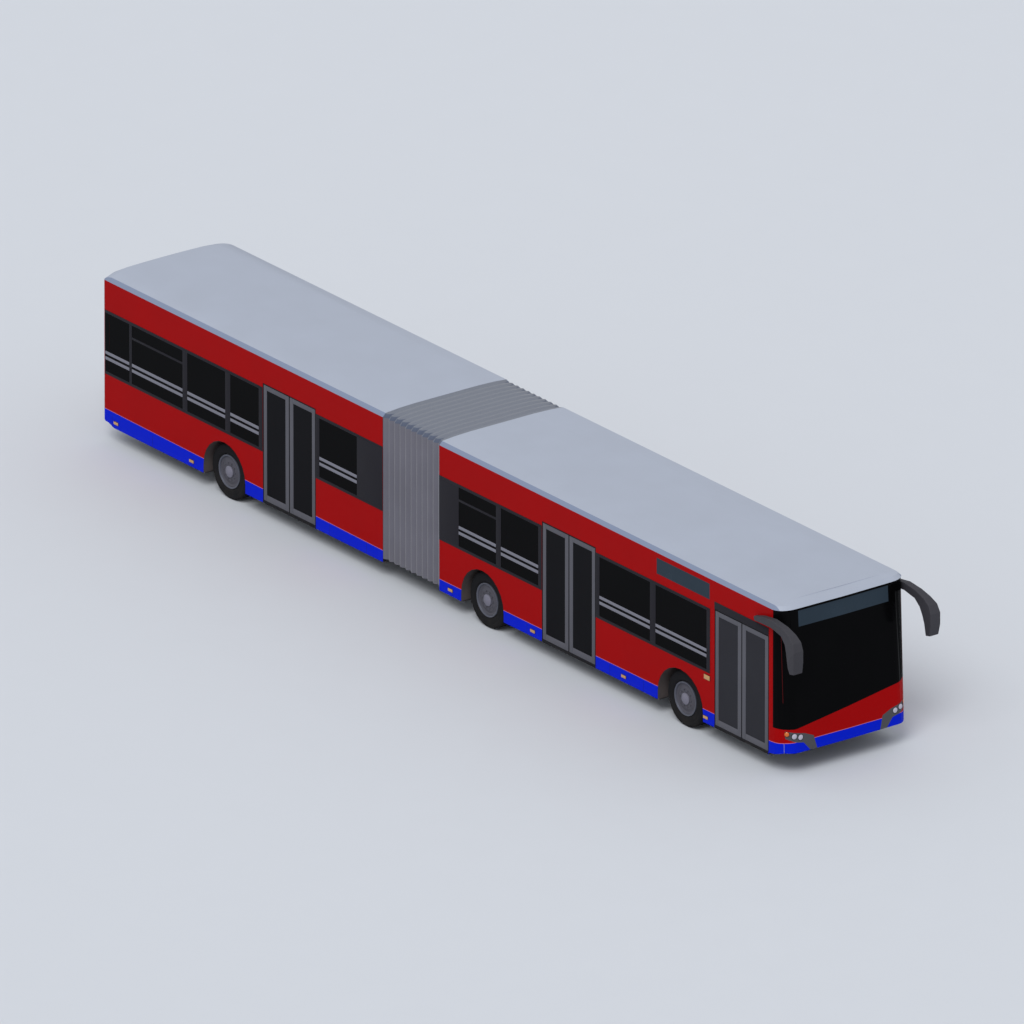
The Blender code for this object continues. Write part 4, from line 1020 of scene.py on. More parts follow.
@dataclass
class Doors:
    """Glazed door leaves with rubber edges, their sills, and the header over the front door."""

    width: float = 1.43
    clearance: float = 0.006
    thickness: float = 0.04
    stile: float = 0.098
    low_rail: float = 0.105
    seal: float = 0.018
    meeting_seal: float = 0.006
    post_radius: float = 0.02
    post_bite: float = 0.005
    post_sides: int = 20
    edge: float = 0.004
    seal_insets: Pair = (0.002, 0.004)
    glass_insets: Pair = (0.008, 0.016)
    sill_low_z: float = 0.3
    sill_start_d: float = 0.21
    sill_proud: float = 0.004
    header_high_z: float = 2.47
    header_proud: float = 0.006
    header_inset: float = 0.005
    trim_base: float = 0.0003
    doorways: tuple[Doorway, ...] = (
        Doorway("front_door", 0.915, 2.34, Section.FRONT, FRONT_DOOR_GLASS),
        Doorway("middle_door", 5.485, 2.383, Section.FRONT, DOOR_GLASS),
        Doorway("rear_door", 12.98, 2.383, Section.REAR, DOOR_GLASS),
    )

    def build(self) -> None:
        """Build both leaves of each door, the sills and the header."""
        for door in self.doorways:
            for leaf, end in (("front_leaf", 1), ("rear_leaf", -1)):
                self.build_leaf(door, leaf, end)
            self.build_sill(door)
        self.build_header(self.doorways[0])

    def build_leaf(self, door: Doorway, leaf: str, end: int) -> None:
        """One leaf: rubber edges, four bars, a pane and the post it turns on.

        Args:
            door: the doorway that it closes.
            leaf: the leaf's name.
            end: 1 for the front leaf and -1 for the rear one.
        """
        body = f"{door.name}_{leaf}"
        middle_x, inward = x_at(door.centre_d), -end
        jamb_x = middle_x + end * (self.width / 2 - self.clearance)
        tip_x = middle_x + end * self.clearance
        low_z, high_z = FLOOR_Z + self.clearance, door.header_z - self.clearance
        depth = (-HALF_WIDTH, self.thickness - HALF_WIDTH)
        across = (jamb_x + inward * (self.seal + GAP), tip_x - inward * (self.meeting_seal + GAP))

        seal, seal_depth = Shape(), (depth[0] + self.seal_insets[0], depth[1] - self.seal_insets[1])
        seal.box((jamb_x, jamb_x + inward * self.seal), seal_depth, (low_z, high_z), self.edge)
        seal.box((tip_x, tip_x - inward * self.meeting_seal), seal_depth, (low_z, high_z), self.edge / 2)
        seal.box(across, seal_depth, (high_z - self.seal, high_z), self.edge)
        seal.piece(f"{body}_seal", SEAL_RUBBER, body)

        top_z = high_z - self.seal - GAP
        glass_z = (low_z + self.low_rail, high_z - self.stile)
        glass_x = (jamb_x + inward * self.stile, tip_x - inward * self.stile)
        between = (glass_x[0] + inward * GAP, glass_x[1] - inward * GAP)
        bars = Shape()
        for xs, zs in (((across[0], glass_x[0]), (low_z, top_z)), ((across[1], glass_x[1]), (low_z, top_z)),
                       (between, (low_z, glass_z[0])), (between, (glass_z[1], top_z))):
            bars.box(xs, depth, zs, self.edge)
        post = Vector((middle_x + end * (self.width / 2 - self.clearance - self.post_radius),
                       depth[1] + self.post_radius - self.post_bite, FLOOR_Z + GAP))
        height = door.header_z - FLOOR_Z - 2 * GAP
        bars.turned([(0, 0), (self.post_radius, 0), (self.post_radius, height), (0, height)], post,
                    Vector((0, 0, 1)), self.post_sides)
        bars.piece(f"{body}_frame", DOOR_METAL, body, "door_metal", (body,))

        pane = Shape().box(between, tuple(depth[0] + inset for inset in self.glass_insets),
                           (glass_z[0] + GAP, glass_z[1] - GAP))
        pane.piece(f"{body}_pane", door.glass, body, "dark_glass")

    def build_sill(self, door: Doorway) -> None:
        """The dark sill under a doorway.

        Args:
            door: the doorway.
        """
        start, end = about(door.centre_d, self.width)
        shape = Shape()
        side_box(shape, Side.RIGHT, (max(start, self.sill_start_d), end), (self.trim_base, self.sill_proud),
                 (self.sill_low_z, FLOOR_Z + self.sill_proud), self.edge / 4)
        shape.piece(f"{door.name}_sill", SEAL_RUBBER, door.section.value)

    def build_header(self, door: Doorway) -> None:
        """A dark box over the front door.

        Args:
            door: the front doorway.
        """
        start, end = about(door.centre_d, self.width)
        shape = Shape()
        # A dark box over the front door, from just above the door's top up to 2.47 m.
        side_box(shape, Side.RIGHT, (start + self.header_inset, end), (self.trim_base, self.header_proud),
                 (door.header_z + 0.001, self.header_high_z), self.edge / 2)
        shape.piece("front_door_header", FRAME_PLASTIC, door.section.value)


@dataclass
class Bellows:
    """The pleated cover of the joint, which has the roof's outline."""

    pleats: int = 10
    samples: int = 16
    depth: float = 0.045
    top_share: float = 0.25
    thickness: float = 0.012
    low_z: float = 0.36
    inset: float = 0.006
    frame_length: float = 0.02
    frame_extra: float = 0.02
    end_gap: float = 0.001
    sill_z: float = 1.2
    shoulder_z: float = 2.0
    blend_z: float = 1.5
    smooth: float = 60.0

    def section(self, inset: float) -> list[Pair]:
        """The cover's edge from the front: up one side, over the top and down the other.

        Args:
            inset: how far it lies inside the body's outline.

        Returns:
            Points as pairs of Y and Z.
        """
        half = HALF_WIDTH - inset
        drop = self.inset + (inset - self.inset) * self.top_share
        bevel_z = EAVES_Z + ROOF_BEVEL - drop
        right = [
            (-half, self.low_z), (-half, self.sill_z), (-half, self.shoulder_z), (-half, EAVES_Z - drop),
            (ROOF_BEVEL - half, bevel_z), (-half * 3 / 4, bevel_z + ROOF_CROWN * 2 / 3),
            (-half / 2, bevel_z + ROOF_CROWN),
        ]
        return right + [(0.0, bevel_z + ROOF_CROWN)] + [(-y, z) for y, z in reversed(right)]

    def ring(self, x: float, outer: float, inner: float) -> list[Point]:
        """One closed cross section of the cover.

        Args:
            x: where it stands.
            outer: how far its outside lies inside the body's outline.
            inner: the same for its inside.

        Returns:
            The points in order.
        """
        return [(x, y, z) for y, z in self.section(outer) + self.section(inner)[::-1]]

    def build(self) -> None:
        """Build the cloth and the two end frames."""
        front, rear = x_at(FRONT_END_D) - self.end_gap, x_at(REAR_START_D) + self.end_gap
        start, end = front - self.frame_length, rear + self.frame_length
        steps = self.pleats * self.samples
        rings = []
        for step in range(steps + 1):
            fold = abs(2 * (step / self.samples % 1) - 1)
            inset = self.inset + self.depth * (1 - fold)
            x = start + (end - start) * step / steps
            rings.append(self.ring(x, inset, inset + self.thickness))
        cloth = Shape().loft(rings).piece("bellows_cover", BELLOWS_CLOTH, "", "bellows_fabric", ("bellows",),
                                          self.smooth)
        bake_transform(cloth)
        for name, x, way in (("front", front, -1), ("rear", rear, 1)):
            ends = (x, x + way * (self.frame_length - self.end_gap))
            inner = self.inset + self.depth + self.frame_extra
            shape = Shape().loft([self.ring(place, self.inset, inner) for place in ends])
            shape.piece(f"bellows_frame_{name}", BELLOWS_FRAME, f"{name}_section")


@dataclass(frozen=True)
class AxlePlace:
    """Where one axle is and what its wheels are like."""

    name: str
    centre_d: float
    arch_length: float
    tyres: int
    hub_depth: float
    housing_y: float
    section: Section


@dataclass(frozen=True)
class WheelPlace:
    """One wheel, as its axle and its side."""

    axle: AxlePlace
    side: Side

    @property
    def label(self) -> str:
        """How the names of its pieces start."""
        return f"{self.axle.name}_{self.side.name}".lower()

    def turned(self, profile: list[Pair], sides: int, dips: dict[int, float] | None = None,
               shape: Shape | None = None, offset: Vector | None = None) -> Shape:
        """Turn a profile about the wheel's axis, or about a line beside it.

        Args:
            profile: pairs of a radius and a distance inwards from the tyre's outer face.
            sides: the number of faces round it.
            dips: how far some rows dip, as Shape.turned takes it.
            shape: the mesh that it goes into, or None for a new one.
            offset: the step from the wheel's axis to the line.

        Returns:
            The mesh.
        """
        centre = Vector((x_at(self.axle.centre_d), self.side.value * TYRE_FACE_Y, AXLE_Z))
        return (shape or Shape()).turned(profile, centre + (offset or Vector()),
                                         Vector((0, -self.side.value, 0)), sides, dips)


@dataclass
class RunningGear:
    """Tyres, wheels, arch liners and the axles' finish."""

    tyre_radius: float = 0.4744
    tyre_width: float = 0.275
    twin_spacing: float = 0.05
    bead_gap: float = 0.0005
    shoulder_dip: float = 0.0025
    rim_radius: float = 0.286
    rim_lip: float = 0.024
    hub_radius: float = 0.103
    hub_proud: float = 0.04
    face_depth: float = 0.03
    nut_count: int = 10
    nut_circle: float = 0.145
    nut_sides: int = 6
    hub_sides: int = 48
    rim_sides: int = 72
    tyre_sides: int = 120
    tyre_smooth: float = 40.0
    disc_smooth: float = 25.0
    arch_foot_z: float = 0.302
    arch_top_z: float = 1.01
    arch_spring_z: float = 0.45
    arch_steps: int = 12
    liner_inside: float = 0.003
    liner_outside: float = 0.012
    axles: tuple[AxlePlace, ...] = (
        AxlePlace("front", 2.53, 1.20, 1, 0.145, 0.55, Section.FRONT),
        AxlePlace("middle", 7.79, 1.14, 2, 0.30, 0.48, Section.FRONT),
        AxlePlace("rear", 14.745, 1.14, 2, 0.30, 0.48, Section.REAR),
    )
    steel: tuple[str, ...] = ("front_axle", "middle_axle", "rear_axle", "knuckle_right", "knuckle_left",
                              "turntable")

    def build(self) -> None:
        """Build every wheel and liner, and paint the axles."""
        dress(self.steel, CHASSIS_PAINT)
        for wheel in [WheelPlace(axle, side) for axle in self.axles for side in Side]:
            self.build_tyre(wheel)
            self.build_rim(wheel)
            self.build_disc(wheel)
            self.build_liner(wheel)

    def tyre_profile(self, start: float) -> tuple[list[Pair], list[int]]:
        """One tyre's section from its outer bead round the tread to the inner bead.

        Args:
            start: how far in its outer face lies.

        Returns:
            The profile, and the rows of it that the shoulder blocks notch.
        """
        wall = ((0.0, 0.13), (0.05, 0.06), (0.14, 0.03), (0.16, 0.018), (0.22, 0.018), (0.24, 0.004),
                (0.36, 0.0), (0.52, 0.0), (0.54, 0.006), (0.60, 0.006), (0.62, 0.0), (0.74, 0.008),
                (0.84, 0.028), (0.93, 0.06))
        tread = [(1.0, 0.115)]
        for groove in (0.27, 0.42, 0.58, 0.73):
            tread += [(1.0, groove - 0.018), (0.94, groove - 0.012), (0.94, groove + 0.012),
                      (1.0, groove + 0.018)]
        tread.append((1.0, 0.885))
        bead = self.rim_radius + self.bead_gap
        shares = [*wall, *tread, *[(up, 1 - over) for up, over in wall[::-1]]]
        profile = [(bead + (self.tyre_radius - bead) * up, start + self.tyre_width * over)
                   for up, over in shares]
        last = len(wall) + len(tread)
        return profile, [len(wall) - 1, len(wall), last - 1, last]

    def build_tyre(self, wheel: WheelPlace) -> None:
        """The tyre or the twin tyres of one wheel.

        Args:
            wheel: the wheel.
        """
        shape = Shape()
        for number in range(wheel.axle.tyres):
            profile, notched = self.tyre_profile(number * (self.tyre_width + self.twin_spacing))
            wheel.turned(profile, self.tyre_sides, {row: self.shoulder_dip for row in notched}, shape)
        shape.piece(f"{wheel.label}_tyre_dressed", TYRE_RUBBER, f"{wheel.label}_wheel", "tyre_rubber",
                    (f"{wheel.label}_tyre",), self.tyre_smooth)

    def build_rim(self, wheel: WheelPlace) -> None:
        """The rim's lip, well and barrel, and the seat of the hub.

        Args:
            wheel: the wheel.
        """
        tyres, hub, body = wheel.axle.tyres, wheel.axle.hub_depth, f"{wheel.label}_wheel"
        width = self.tyre_width * tyres + self.twin_spacing * (tyres - 1)
        outer, inner = self.rim_radius, self.rim_radius - self.rim_lip
        rim = wheel.turned([
            (inner - 0.004, 0.016), (inner + 0.004, 0.006), (outer - 0.008, 0.002), (outer, 0.006),
            (outer, 0.02), (outer, width - 0.02), (outer, width - 0.004), (inner, width - 0.004),
            (inner - 0.004, width - 0.03), (inner - 0.008, hub + 0.01),
            (inner - 0.008, self.face_depth + 0.012), (inner - 0.006, self.face_depth),
        ], self.rim_sides)
        rim.piece(f"{wheel.label}_rim", RIM_PAINT, body, "wheel_metal", (body,))
        seat = wheel.turned([
            (0.0, hub - 0.02), (0.12, hub - 0.02), (inner - 0.01, hub - 0.04), (inner - 0.01, hub - 0.052),
            (0.12, hub - 0.04), (0.0, hub - 0.04),
        ], self.hub_sides)
        seat.piece(f"{wheel.label}_hub_seat", CHASSIS_PAINT, body, "axle_metal")

    def build_disc(self, wheel: WheelPlace) -> None:
        """The dished face with its ring of nuts, and the hub cap.

        Args:
            wheel: the wheel.
        """
        rim, hub, nuts = self.rim_radius - self.rim_lip - 0.009, self.hub_radius, self.nut_circle
        face, cap, radius = self.face_depth, self.face_depth - self.hub_proud, self.hub_radius - 0.005
        disc = wheel.turned([
            (hub - 0.004, face + 0.012), (hub - 0.004, face - 0.004), (nuts + 0.032, face - 0.002),
            (nuts + 0.05, face + 0.008), (rim - 0.03, face + 0.012), (rim, face - 0.002), (rim, face + 0.012),
            (rim - 0.03, face + 0.024), (nuts + 0.05, face + 0.02),
        ], self.rim_sides)
        nut = [(0, face - 0.02), (0.007, face - 0.02), (0.012, face - 0.014), (0.014, face + 0.002),
               (0, face + 0.002)]
        for out in spokes(Vector((1, 0, 0)), Vector((0, 0, 1)), self.nut_count):
            wheel.turned(nut, self.nut_sides, shape=disc, offset=out * nuts)
        disc.piece(f"{wheel.label}_disc", DISC_PAINT, f"{wheel.label}_wheel", "wheel_metal",
                   smooth=self.disc_smooth)
        wheel.turned([
            (0, cap), (radius * 0.62, cap + 0.001), (radius * 0.70, cap + 0.006),
            (radius * 0.90, cap + 0.008), (radius, cap + 0.016), (radius, face + 0.012), (0, face + 0.012),
        ], self.hub_sides).piece(f"{wheel.label}_hub_cap", HUB_METAL, f"{wheel.label}_wheel", "wheel_metal")

    def arch_outline(self, axle: AxlePlace, grow: float) -> list[Pair]:
        """The wheel arch from the side.

        Args:
            axle: the axle under the arch.
            grow: how far the outline is moved outwards.

        Returns:
            Points as pairs of X and Z.
        """
        centre = x_at(axle.centre_d)
        half = axle.arch_length / 2 + grow
        rise = self.arch_top_z - self.arch_spring_z + grow
        angles = [math.pi * (1 - step / self.arch_steps) for step in range(self.arch_steps + 1)]
        curve = [(centre + half * math.cos(a), self.arch_spring_z + rise * math.sin(a)) for a in angles]
        return [(centre - half, self.arch_foot_z), *curve, (centre + half, self.arch_foot_z)]

    def build_liner(self, wheel: WheelPlace) -> None:
        """The plastic liner inside one wheel arch: a thin ring in the wall and a deeper shell behind it.

        Args:
            wheel: the wheel under the arch.
        """
        near = self.arch_outline(wheel.axle, -self.liner_inside)
        behind = HALF_WIDTH - WALL - 0.002
        shape = Shape()
        for grow, places in ((-GAP, (HALF_WIDTH - 0.004, behind)),
                             (self.liner_outside, (behind, wheel.axle.housing_y + 0.004))):
            outline = near + self.arch_outline(wheel.axle, grow)[::-1]
            shape.loft([[(x, wheel.side.value * y, z) for x, z in outline] for y in places])
        shape.piece(f"{wheel.label}_liner", LINER_PLASTIC, wheel.axle.section.value)


@dataclass(frozen=True)
class RoundLamp:
    """One round lamp of the front cluster."""

    name: str
    y: float
    z: float
    radius: float
    finish: Finish


@dataclass
class Lamps:
    """Head lamps, turn lamps, side markers and the tail's lamps and plate."""

    front: tuple[RoundLamp, ...] = (
        RoundLamp("main_lamp", 0.95, 0.649, 0.046, WHITE_LENS),
        RoundLamp("dip_lamp", 1.065, 0.682, 0.046, WHITE_LENS),
        RoundLamp("turn_lamp", 1.165, 0.722, 0.040, AMBER_LENS),
    )
    markers: tuple[tuple[Section, float], ...] = (
        (Section.FRONT, 1.855), (Section.FRONT, 4.02), (Section.FRONT, 6.44), (Section.FRONT, 8.64),
        (Section.REAR, 15.63), (Section.REAR, 17.69),
    )
    marker_size: Pair = (0.13, 0.06)
    marker_z: float = 0.40
    repeater_size: Pair = (0.16, 0.09)
    repeater_d: float = 1.82
    repeater_z: float = 1.10
    tail_y: float = 0.98
    tail_lamps: tuple[tuple[str, float, Finish], ...] = (
        ("stop", 1.22, RED_LENS), ("turn", 1.06, AMBER_LENS), ("reverse", 0.90, WHITE_LENS),
        ("rear", 0.74, RED_LENS),
    )
    tail_base: Pair = (0.66, 1.30)
    plate_size: Pair = (0.52, 0.11)
    plate_z: float = 0.53
    rim: float = 0.006
    base_depths: Pair = (0.0003, 0.004)
    lens_depths: Pair = (0.0045, 0.014)
    front_sides: int = 40
    tail_sides: int = 36

    def build(self) -> None:
        """Build every lamp."""
        dress(("headlamp_right", "headlamp_left"), LAMP_HOUSING)
        for side in Side:
            self.build_cluster(side)
            self.build_side_lamps(side)
        self.build_tail()

    def build_cluster(self, side: Side) -> None:
        """The three round lamps of one front cluster, set in bezels.

        Args:
            side: the cluster's side.
        """
        label = side.name.lower()
        surface = Surface(f"headlamp_{label}", End.NOSE)
        for lamp in self.front:
            place, normal = surface.meet(side.value * lamp.y, lamp.z)
            name, radius, gap = f"{lamp.name}_{label}", lamp.radius, lamp.radius + GAP
            lens = [(0, -0.014), (radius * 0.45, -0.0125), (radius * 0.8, -0.008), (radius, -0.001),
                    (radius, 0.01), (0, 0.01)]
            Shape().turned(lens, place, -normal, self.front_sides).piece(name, lamp.finish, "front_section")
            bezel = [(gap, -0.002), (radius + 0.003, -0.005), (radius + 0.008, -0.002),
                     (radius + 0.008, 0.008), (gap, 0.008)]
            Shape().turned(bezel, place, -normal, self.front_sides).piece(
                f"{name}_bezel", FRAME_PLASTIC, "front_section")

    def build_side_lamps(self, side: Side) -> None:
        """The markers along the skirt and the repeater behind the front door.

        Args:
            side: the side of the bus.
        """
        for section in Section:
            lamps = [(place, self.marker_z, self.marker_size) for owner, place in self.markers
                     if owner is section]
            if section is Section.FRONT:
                lamps.append((self.repeater_d, self.repeater_z, self.repeater_size))
            bases, lenses = Shape(), Shape()
            for place, height, (length, rise) in lamps:
                side_box(bases, side, about(place, length), self.base_depths, about(height, rise), 0.001)
                side_box(lenses, side, about(place, length - 2 * self.rim), self.lens_depths,
                         about(height, rise - 2 * self.rim), 0.004)
            label = f"{section.name}_{side.name}".lower()
            bases.piece(f"side_lamp_bases_{label}", FRAME_PLASTIC, section.value)
            lenses.piece(f"side_lamps_{label}", MARKER_LENS, section.value)

    def build_tail(self) -> None:
        """The lamps and the blank plate on the tail."""
        surface = Surface("tail", End.TAIL)
        for side in Side:
            y, label = side.value * self.tail_y, side.name.lower()
            base = surface.strip(y, self.tail_base, (
                (-0.0005, -0.085), (-0.004, -0.08), (-0.004, 0.08), (-0.0005, 0.085)))
            Shape().loft(base).piece(f"tail_lamp_base_{label}", LAMP_HOUSING, "rear_section")
            for name, z, finish in self.tail_lamps:
                lens = [(0, 0.0115), (0.03, 0.0105), (0.052, 0.0075), (0.058, 0.0045), (0, 0.0045)]
                place, _ = surface.meet(y, z)
                Shape().turned(lens, place, Vector((-1, 0, 0)), self.tail_sides).piece(
                    f"{name}_lamp_{label}", finish, "rear_section")
        place, _ = surface.meet(0, self.plate_z)
        plate = Shape().box((place.x - 0.006, place.x - 0.001), about(0, self.plate_size[0]),
                            about(self.plate_z, self.plate_size[1]), 0.002)
        plate.piece("blank_plate", PLATE_WHITE, "rear_section")


@dataclass
class Ends:
    """Glass, displays and seams of the nose and the tail, painted highlights down the nose's corners, and the
    engine lid's louvres.
    """

    louvre_count: int = 9
    louvre_half: float = 0.66
    seam_y: float = 1.20
    seam_half: float = 0.0025
    seam_depths: Pair = (0.0002, 0.0016)
    screen_seam: Pair = (1.25, 2.60)
    # Where the painted highlight down each nose corner starts and ends.
    nose_highlight: Pair = (0.40, 0.56)
    seam_steps: int = 8
    window_half: float = 1.0
    window_heights: Pair = (1.36, 2.25)
    rubber_width: float = 0.022
    rubber_depths: Pair = (-0.006, 0.001)
    louvre_low_z: float = 0.70
    louvre_pitch: float = 0.05

    def build(self) -> None:
        """Dress the glass and displays, and build the rear window's rubber, the louvres, the seams and the
        painted highlights down the nose's corners.
        """
        dress(("windscreen", "rear_window"), WINDOW_GLASS)
        dress(("front_display", "side_display"), DISPLAY_PANEL)
        self.build_window_rubber()
        self.build_louvres()
        for side in Side:
            label = side.name.lower()
            self.build_seam(f"screen_seam_{label}", "windscreen", side, self.screen_seam, SEAM_RED)
            # Painted highlight: a pale line down each rounded corner of the nose.
            self.build_seam(f"nose_seam_{label}", "nose", side, self.nose_highlight, NOSE_CORNER_HIGHLIGHT)

    def build_seam(self, name: str, node: str, side: Side, heights: Pair, finish: Finish) -> None:
        """A fine line down the rounded corner of the nose, used for the red seams on the windscreen and for
        the painted highlights in the skirt band.

        Args:
            name: the piece's name.
            node: the CAD node that it lies on.
            side: which corner.
            heights: where it starts and ends.
            finish: what it looks like.
        """
        surface, (low, high) = Surface(node, End.NOSE), heights
        half, (near, far) = self.seam_half, self.seam_depths
        rings = []
        for step in range(self.seam_steps + 1):
            z = low + (high - low) * step / self.seam_steps
            place, normal = surface.meet(side.value * self.seam_y, z)
            out = Vector((normal.x, normal.y, 0)).normalized()
            along = Vector((-out.y, out.x, 0))
            rings.append([place + along * a + out * b for a, b in (
                (-half, near), (half, near), (half, far), (-half, far))])
        Shape().loft(rings).piece(name, finish, "front_section")

    def build_window_rubber(self) -> None:
        """The rubber round the rear window."""
        surface = Surface("tail", End.TAIL)
        shape = Shape()
        half, width, (near, far) = self.window_half, self.rubber_width, self.rubber_depths
        low, high = self.window_heights
        for z in (low - width / 2, high + width / 2):
            x = surface.meet(0.0, z)[0].x
            shape.box((x + near, x + far), (-half - width, half + width), about(z, width), 0.002)
        for side in Side:
            outline = ((near, -width / 2), (near, width / 2), (far, width / 2), (far, -width / 2))
            shape.loft(surface.strip(side.value * (half + width / 2), self.window_heights, outline))
        shape.piece("rear_window_rubber", SEAL_RUBBER, "rear_section")

    def build_louvres(self) -> None:
        """Sloping slats across the engine lid."""
        surface = Surface("engine_lid", End.TAIL)
        shape = Shape()
        for number in range(self.louvre_count):
            z = self.louvre_low_z + self.louvre_pitch * number
            x = surface.meet(0.0, z)[0].x - 0.0004
            outline = ((0.0, z + 0.012), (-0.008, z - 0.012), (-0.005, z - 0.014), (0.0, z - 0.004))
            shape.loft([[(x + dx, y, height) for dx, height in outline]
                        for y in (-self.louvre_half, self.louvre_half)])
        shape.piece("engine_lid_louvres", FRAME_PLASTIC, "engine_lid")


@dataclass
class Mirrors:
    """The horn mirrors with rounded edges and their glasses."""

    edge: float = 0.012
    stations: tuple[Pair, ...] = ((0.815, 0.44), (0.855, 0.27), (0.875, 0.12), (0.888, 0.02))
    glass_reach: Pair = (0.022, 0.165)
    glass_thickness: float = 0.006
    glass_rise: float = 0.002
    seat_inset: Pair = (0.003, 0.001)

    def build(self) -> None:
        """Dress both mirrors and set a glass in each."""
        dress(("mirror_right", "mirror_left"), MIRROR_PLASTIC, self.edge)
        for side in Side:
            self.build_glass(side)

    def build_glass(self, side: Side) -> None:
        """The glass on the back of one mirror.

        Args:
            side: the mirror's side.
        """
        low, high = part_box(f"mirror_{side.name.lower()}")
        length, height = high.x - low.x, high.z - low.z
        inner, outer = [side.value * (HALF_WIDTH + reach) for reach in self.glass_reach]
        rings = []
        for ahead, up in self.stations:
            x = low.x + length * ahead - self.seat_inset[0]
            z = low.z + height * up - self.seat_inset[1]
            front, top = x + self.glass_thickness, z + self.glass_rise
            rings.append([(x, inner, z), (x, outer, z), (front, outer, top), (front, inner, top)])
        Shape().loft(rings).piece(f"mirror_glass_{side.name.lower()}", MIRROR_GLASS, "front_section")


@dataclass
class Interior:
    """Floor, seats, cab and the grab poles."""

    seats: tuple[str, ...] = ("front_left_seats", "front_right_seats", "rear_left_seats", "rear_right_seats",
                              "driver_seat")
    seat_edge: float = 0.03
    cab_edge: float = 0.015
    engine_edge: float = 0.02
    pole_radius: float = 0.017
    pole_y: float = 0.30
    ceiling_rail_z: float = 2.1
    front_poles: tuple[float, ...] = (1.95, 3.9, 4.7, 6.3, 7.0, 8.5)
    rear_poles: tuple[float, ...] = (10.9, 12.2, 13.8, 15.4, 16.4)
    wheel_radius: float = 0.22
    wheel_grip: float = 0.014
    wheel_d: float = 0.98
    wheel_y: float = 0.62
    wheel_z: float = 1.16
    wheel_axis: Point = (-0.5, 0, 0.866)
    wheel_steps: int = 40
    wheel_sides: int = 8
    arm_angles: tuple[float, ...] = (0.5, math.pi - 0.5, -math.pi / 2)
    arm_radius: float = 0.012
    arm_gap: float = 0.005
    column: tuple[tuple[float, float, float, int], ...] = (
        (0.02, -0.12, 0.045, 20), (-0.12, -0.42, 0.03, 16),
    )

    def build(self) -> None:
        """Dress the cabin and build the poles and the steering wheel."""
        dress(("front_floor", "rear_floor"), FLOOR_SHEET)
        dress(self.seats, SEAT_CLOTH, self.seat_edge)
        dress(("dashboard", "cab_partition"), CAB_PLASTIC, self.cab_edge)
        dress(("engine_block",), ENGINE_CASTING, self.engine_edge)
        for section, places in ((Section.FRONT, self.front_poles), (Section.REAR, self.rear_poles)):
            self.build_poles(section, places)
        self.build_steering_wheel()

    def build_poles(self, section: Section, places: tuple[float, ...]) -> None:
        """Upright poles beside the aisle, joined by rails below the ceiling.

        Args:
            section: the section that carries them.
            places: where the poles stand, as distances behind the station.
        """
        shape = Shape()
        for y in [side.value * self.pole_y for side in Side]:
            for x in [x_at(place) for place in places]:
                shape.tube([(x, y, FLOOR_Z + 0.001), (x, y, EAVES_Z - 0.002)], self.pole_radius)
            rail = [(x, y, self.ceiling_rail_z) for x in (x_at(places[0] - 0.1), x_at(places[-1] + 0.1))]
            shape.tube(rail, self.pole_radius * 0.9)
        shape.piece(f"grab_poles_{section.name}".lower(), POLE_STEEL, section.value)

    def build_steering_wheel(self) -> None:
        """The steering wheel on its column."""
        centre = Vector((x_at(self.wheel_d), self.wheel_y, self.wheel_z))
        axis = Vector(self.wheel_axis)
        first = axis.orthogonal().normalized()
        second = axis.cross(first)
        rings = []
        for out in spokes(first, second, self.wheel_steps):
            middle = centre + out * self.wheel_radius
            rings.append([middle + turn * self.wheel_grip for turn in spokes(out, axis, self.wheel_sides)])
        shape = Shape().loft(rings, looped=True)
        for angle in self.arm_angles:
            out = first * math.cos(angle) + second * math.sin(angle)
            end = centre + out * (self.wheel_radius - self.arm_gap)
            shape.tube([centre, end], self.arm_radius, self.wheel_sides)
        for near, far, radius, sides in self.column:
            shape.tube([centre + axis * near, centre + axis * far], radius, sides)
        shape.piece("steering_wheel", CAB_PLASTIC, "front_section")


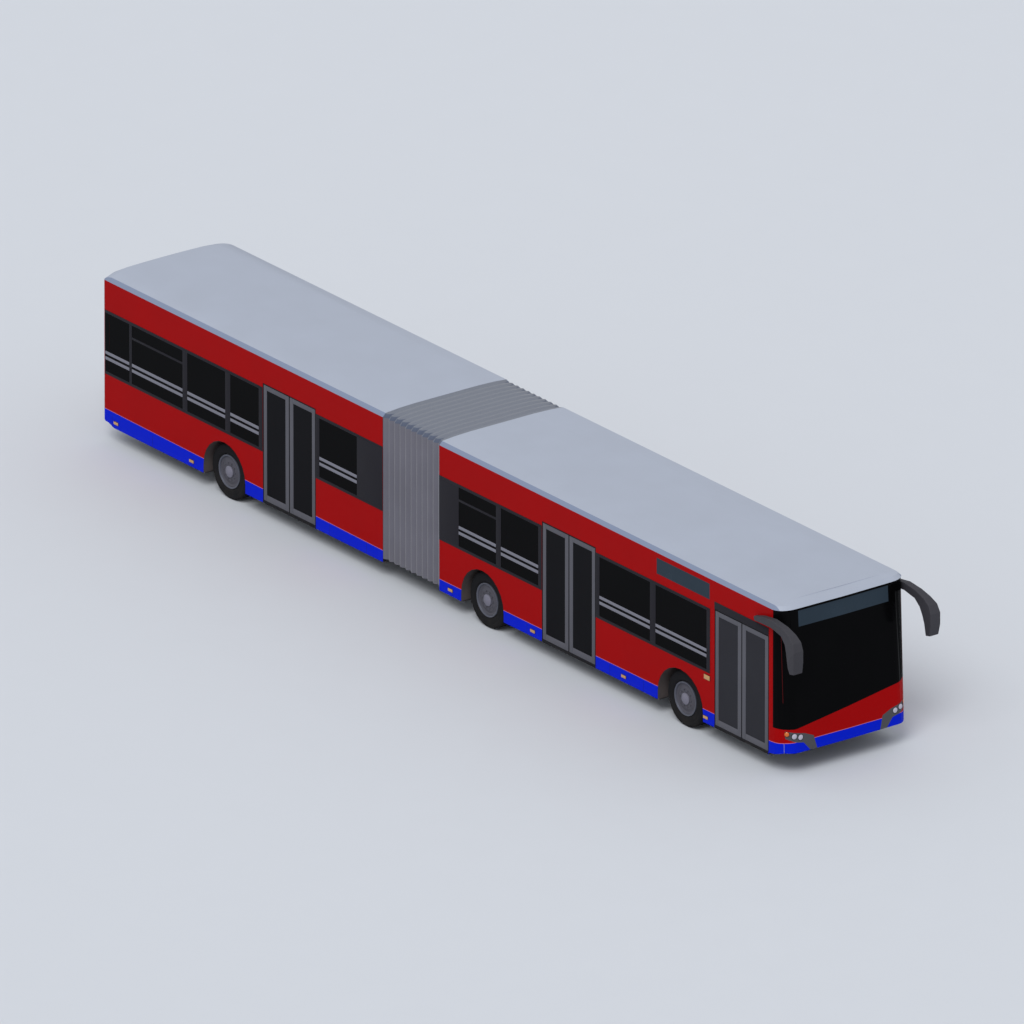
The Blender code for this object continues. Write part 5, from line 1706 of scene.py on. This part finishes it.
@dataclass
class Studio:
    """Floor, light and the camera at the photograph's angle."""

    look_at: Point = (STATION_X - 8.69, 0.0, 1.43)
    azimuth: float = 53.0
    elevation: float = 21.9
    lens: float = 1400.0
    sensor: float = 36.0
    half_view: float = 8.245
    clip: Pair = (1.0, 5000.0)
    floor_radius: float = 3000.0
    floor_sides: int = 64
    sky: Colour = (0.86, 0.89, 0.94, 1.0)
    sky_strength: float = 0.75
    sun_strength: float = 1.6
    sun_from: Point = (0.38, -0.52, 0.76)
    sun_angle: float = 30.0

    def build(self) -> None:
        """Set up the floor, the light and the camera."""
        floor = Shape().turned([(0, 0), (self.floor_radius, 0), (self.floor_radius, 1), (0, 1)],
                               Vector((0, 0, -0.001)), Vector((0, 0, -1)), self.floor_sides)
        floor.piece("studio_floor", STUDIO_FLOOR, "")
        self.build_light()
        self.build_camera()

    def build_light(self) -> None:
        """A soft sky all round and one broad, soft key light."""
        world = bpy.data.worlds.new("studio")
        world.use_nodes = True
        background = world.node_tree.nodes["Background"]
        background.inputs["Color"].default_value = self.sky
        background.inputs["Strength"].default_value = self.sky_strength
        bpy.context.scene.world = world
        light = bpy.data.lights.new("key", "SUN")
        light.energy = self.sun_strength
        light.angle = math.radians(self.sun_angle)
        key = bpy.data.objects.new("key", light)
        key.rotation_mode = "QUATERNION"
        key.rotation_quaternion = Vector(self.sun_from).to_track_quat("Z", "Y")
        bpy.context.scene.collection.objects.link(key)
        bpy.context.scene.view_settings.view_transform = "Standard"

    def build_camera(self) -> None:
        """A very long lens far away, because the photograph shows no perspective."""
        a, e = math.radians(self.azimuth), math.radians(self.elevation)
        back = Vector((math.sin(a) * math.cos(e), -math.cos(a) * math.cos(e), math.sin(e)))
        data = bpy.data.cameras.new("camera")
        data.lens = self.lens
        data.sensor_width = self.sensor
        distance = self.half_view * self.lens / (self.sensor / 2)
        data.clip_start, data.clip_end = self.clip
        camera = bpy.data.objects.new("camera", data)
        camera.rotation_mode = "QUATERNION"
        camera.location = Vector(self.look_at) + back * distance
        camera.rotation_quaternion = (-back).to_track_quat("-Z", "Y")
        bpy.context.scene.collection.objects.link(camera)
        bpy.context.scene.camera = camera


def main() -> None:
    """Build every sub-assembly in order."""
    logging.basicConfig(level=logging.INFO, format="%(message)s")
    for part in (BodyPanels(), RearRoof(), SideGlazing(), Doors(), Bellows(), RunningGear(), Lamps(), Ends(),
                 Mirrors(), Interior(), Studio()):
        LOG.info("%s", type(part).__name__)
        part.build()
    bpy.context.view_layer.update()


if __name__ == "__main__":
    main()
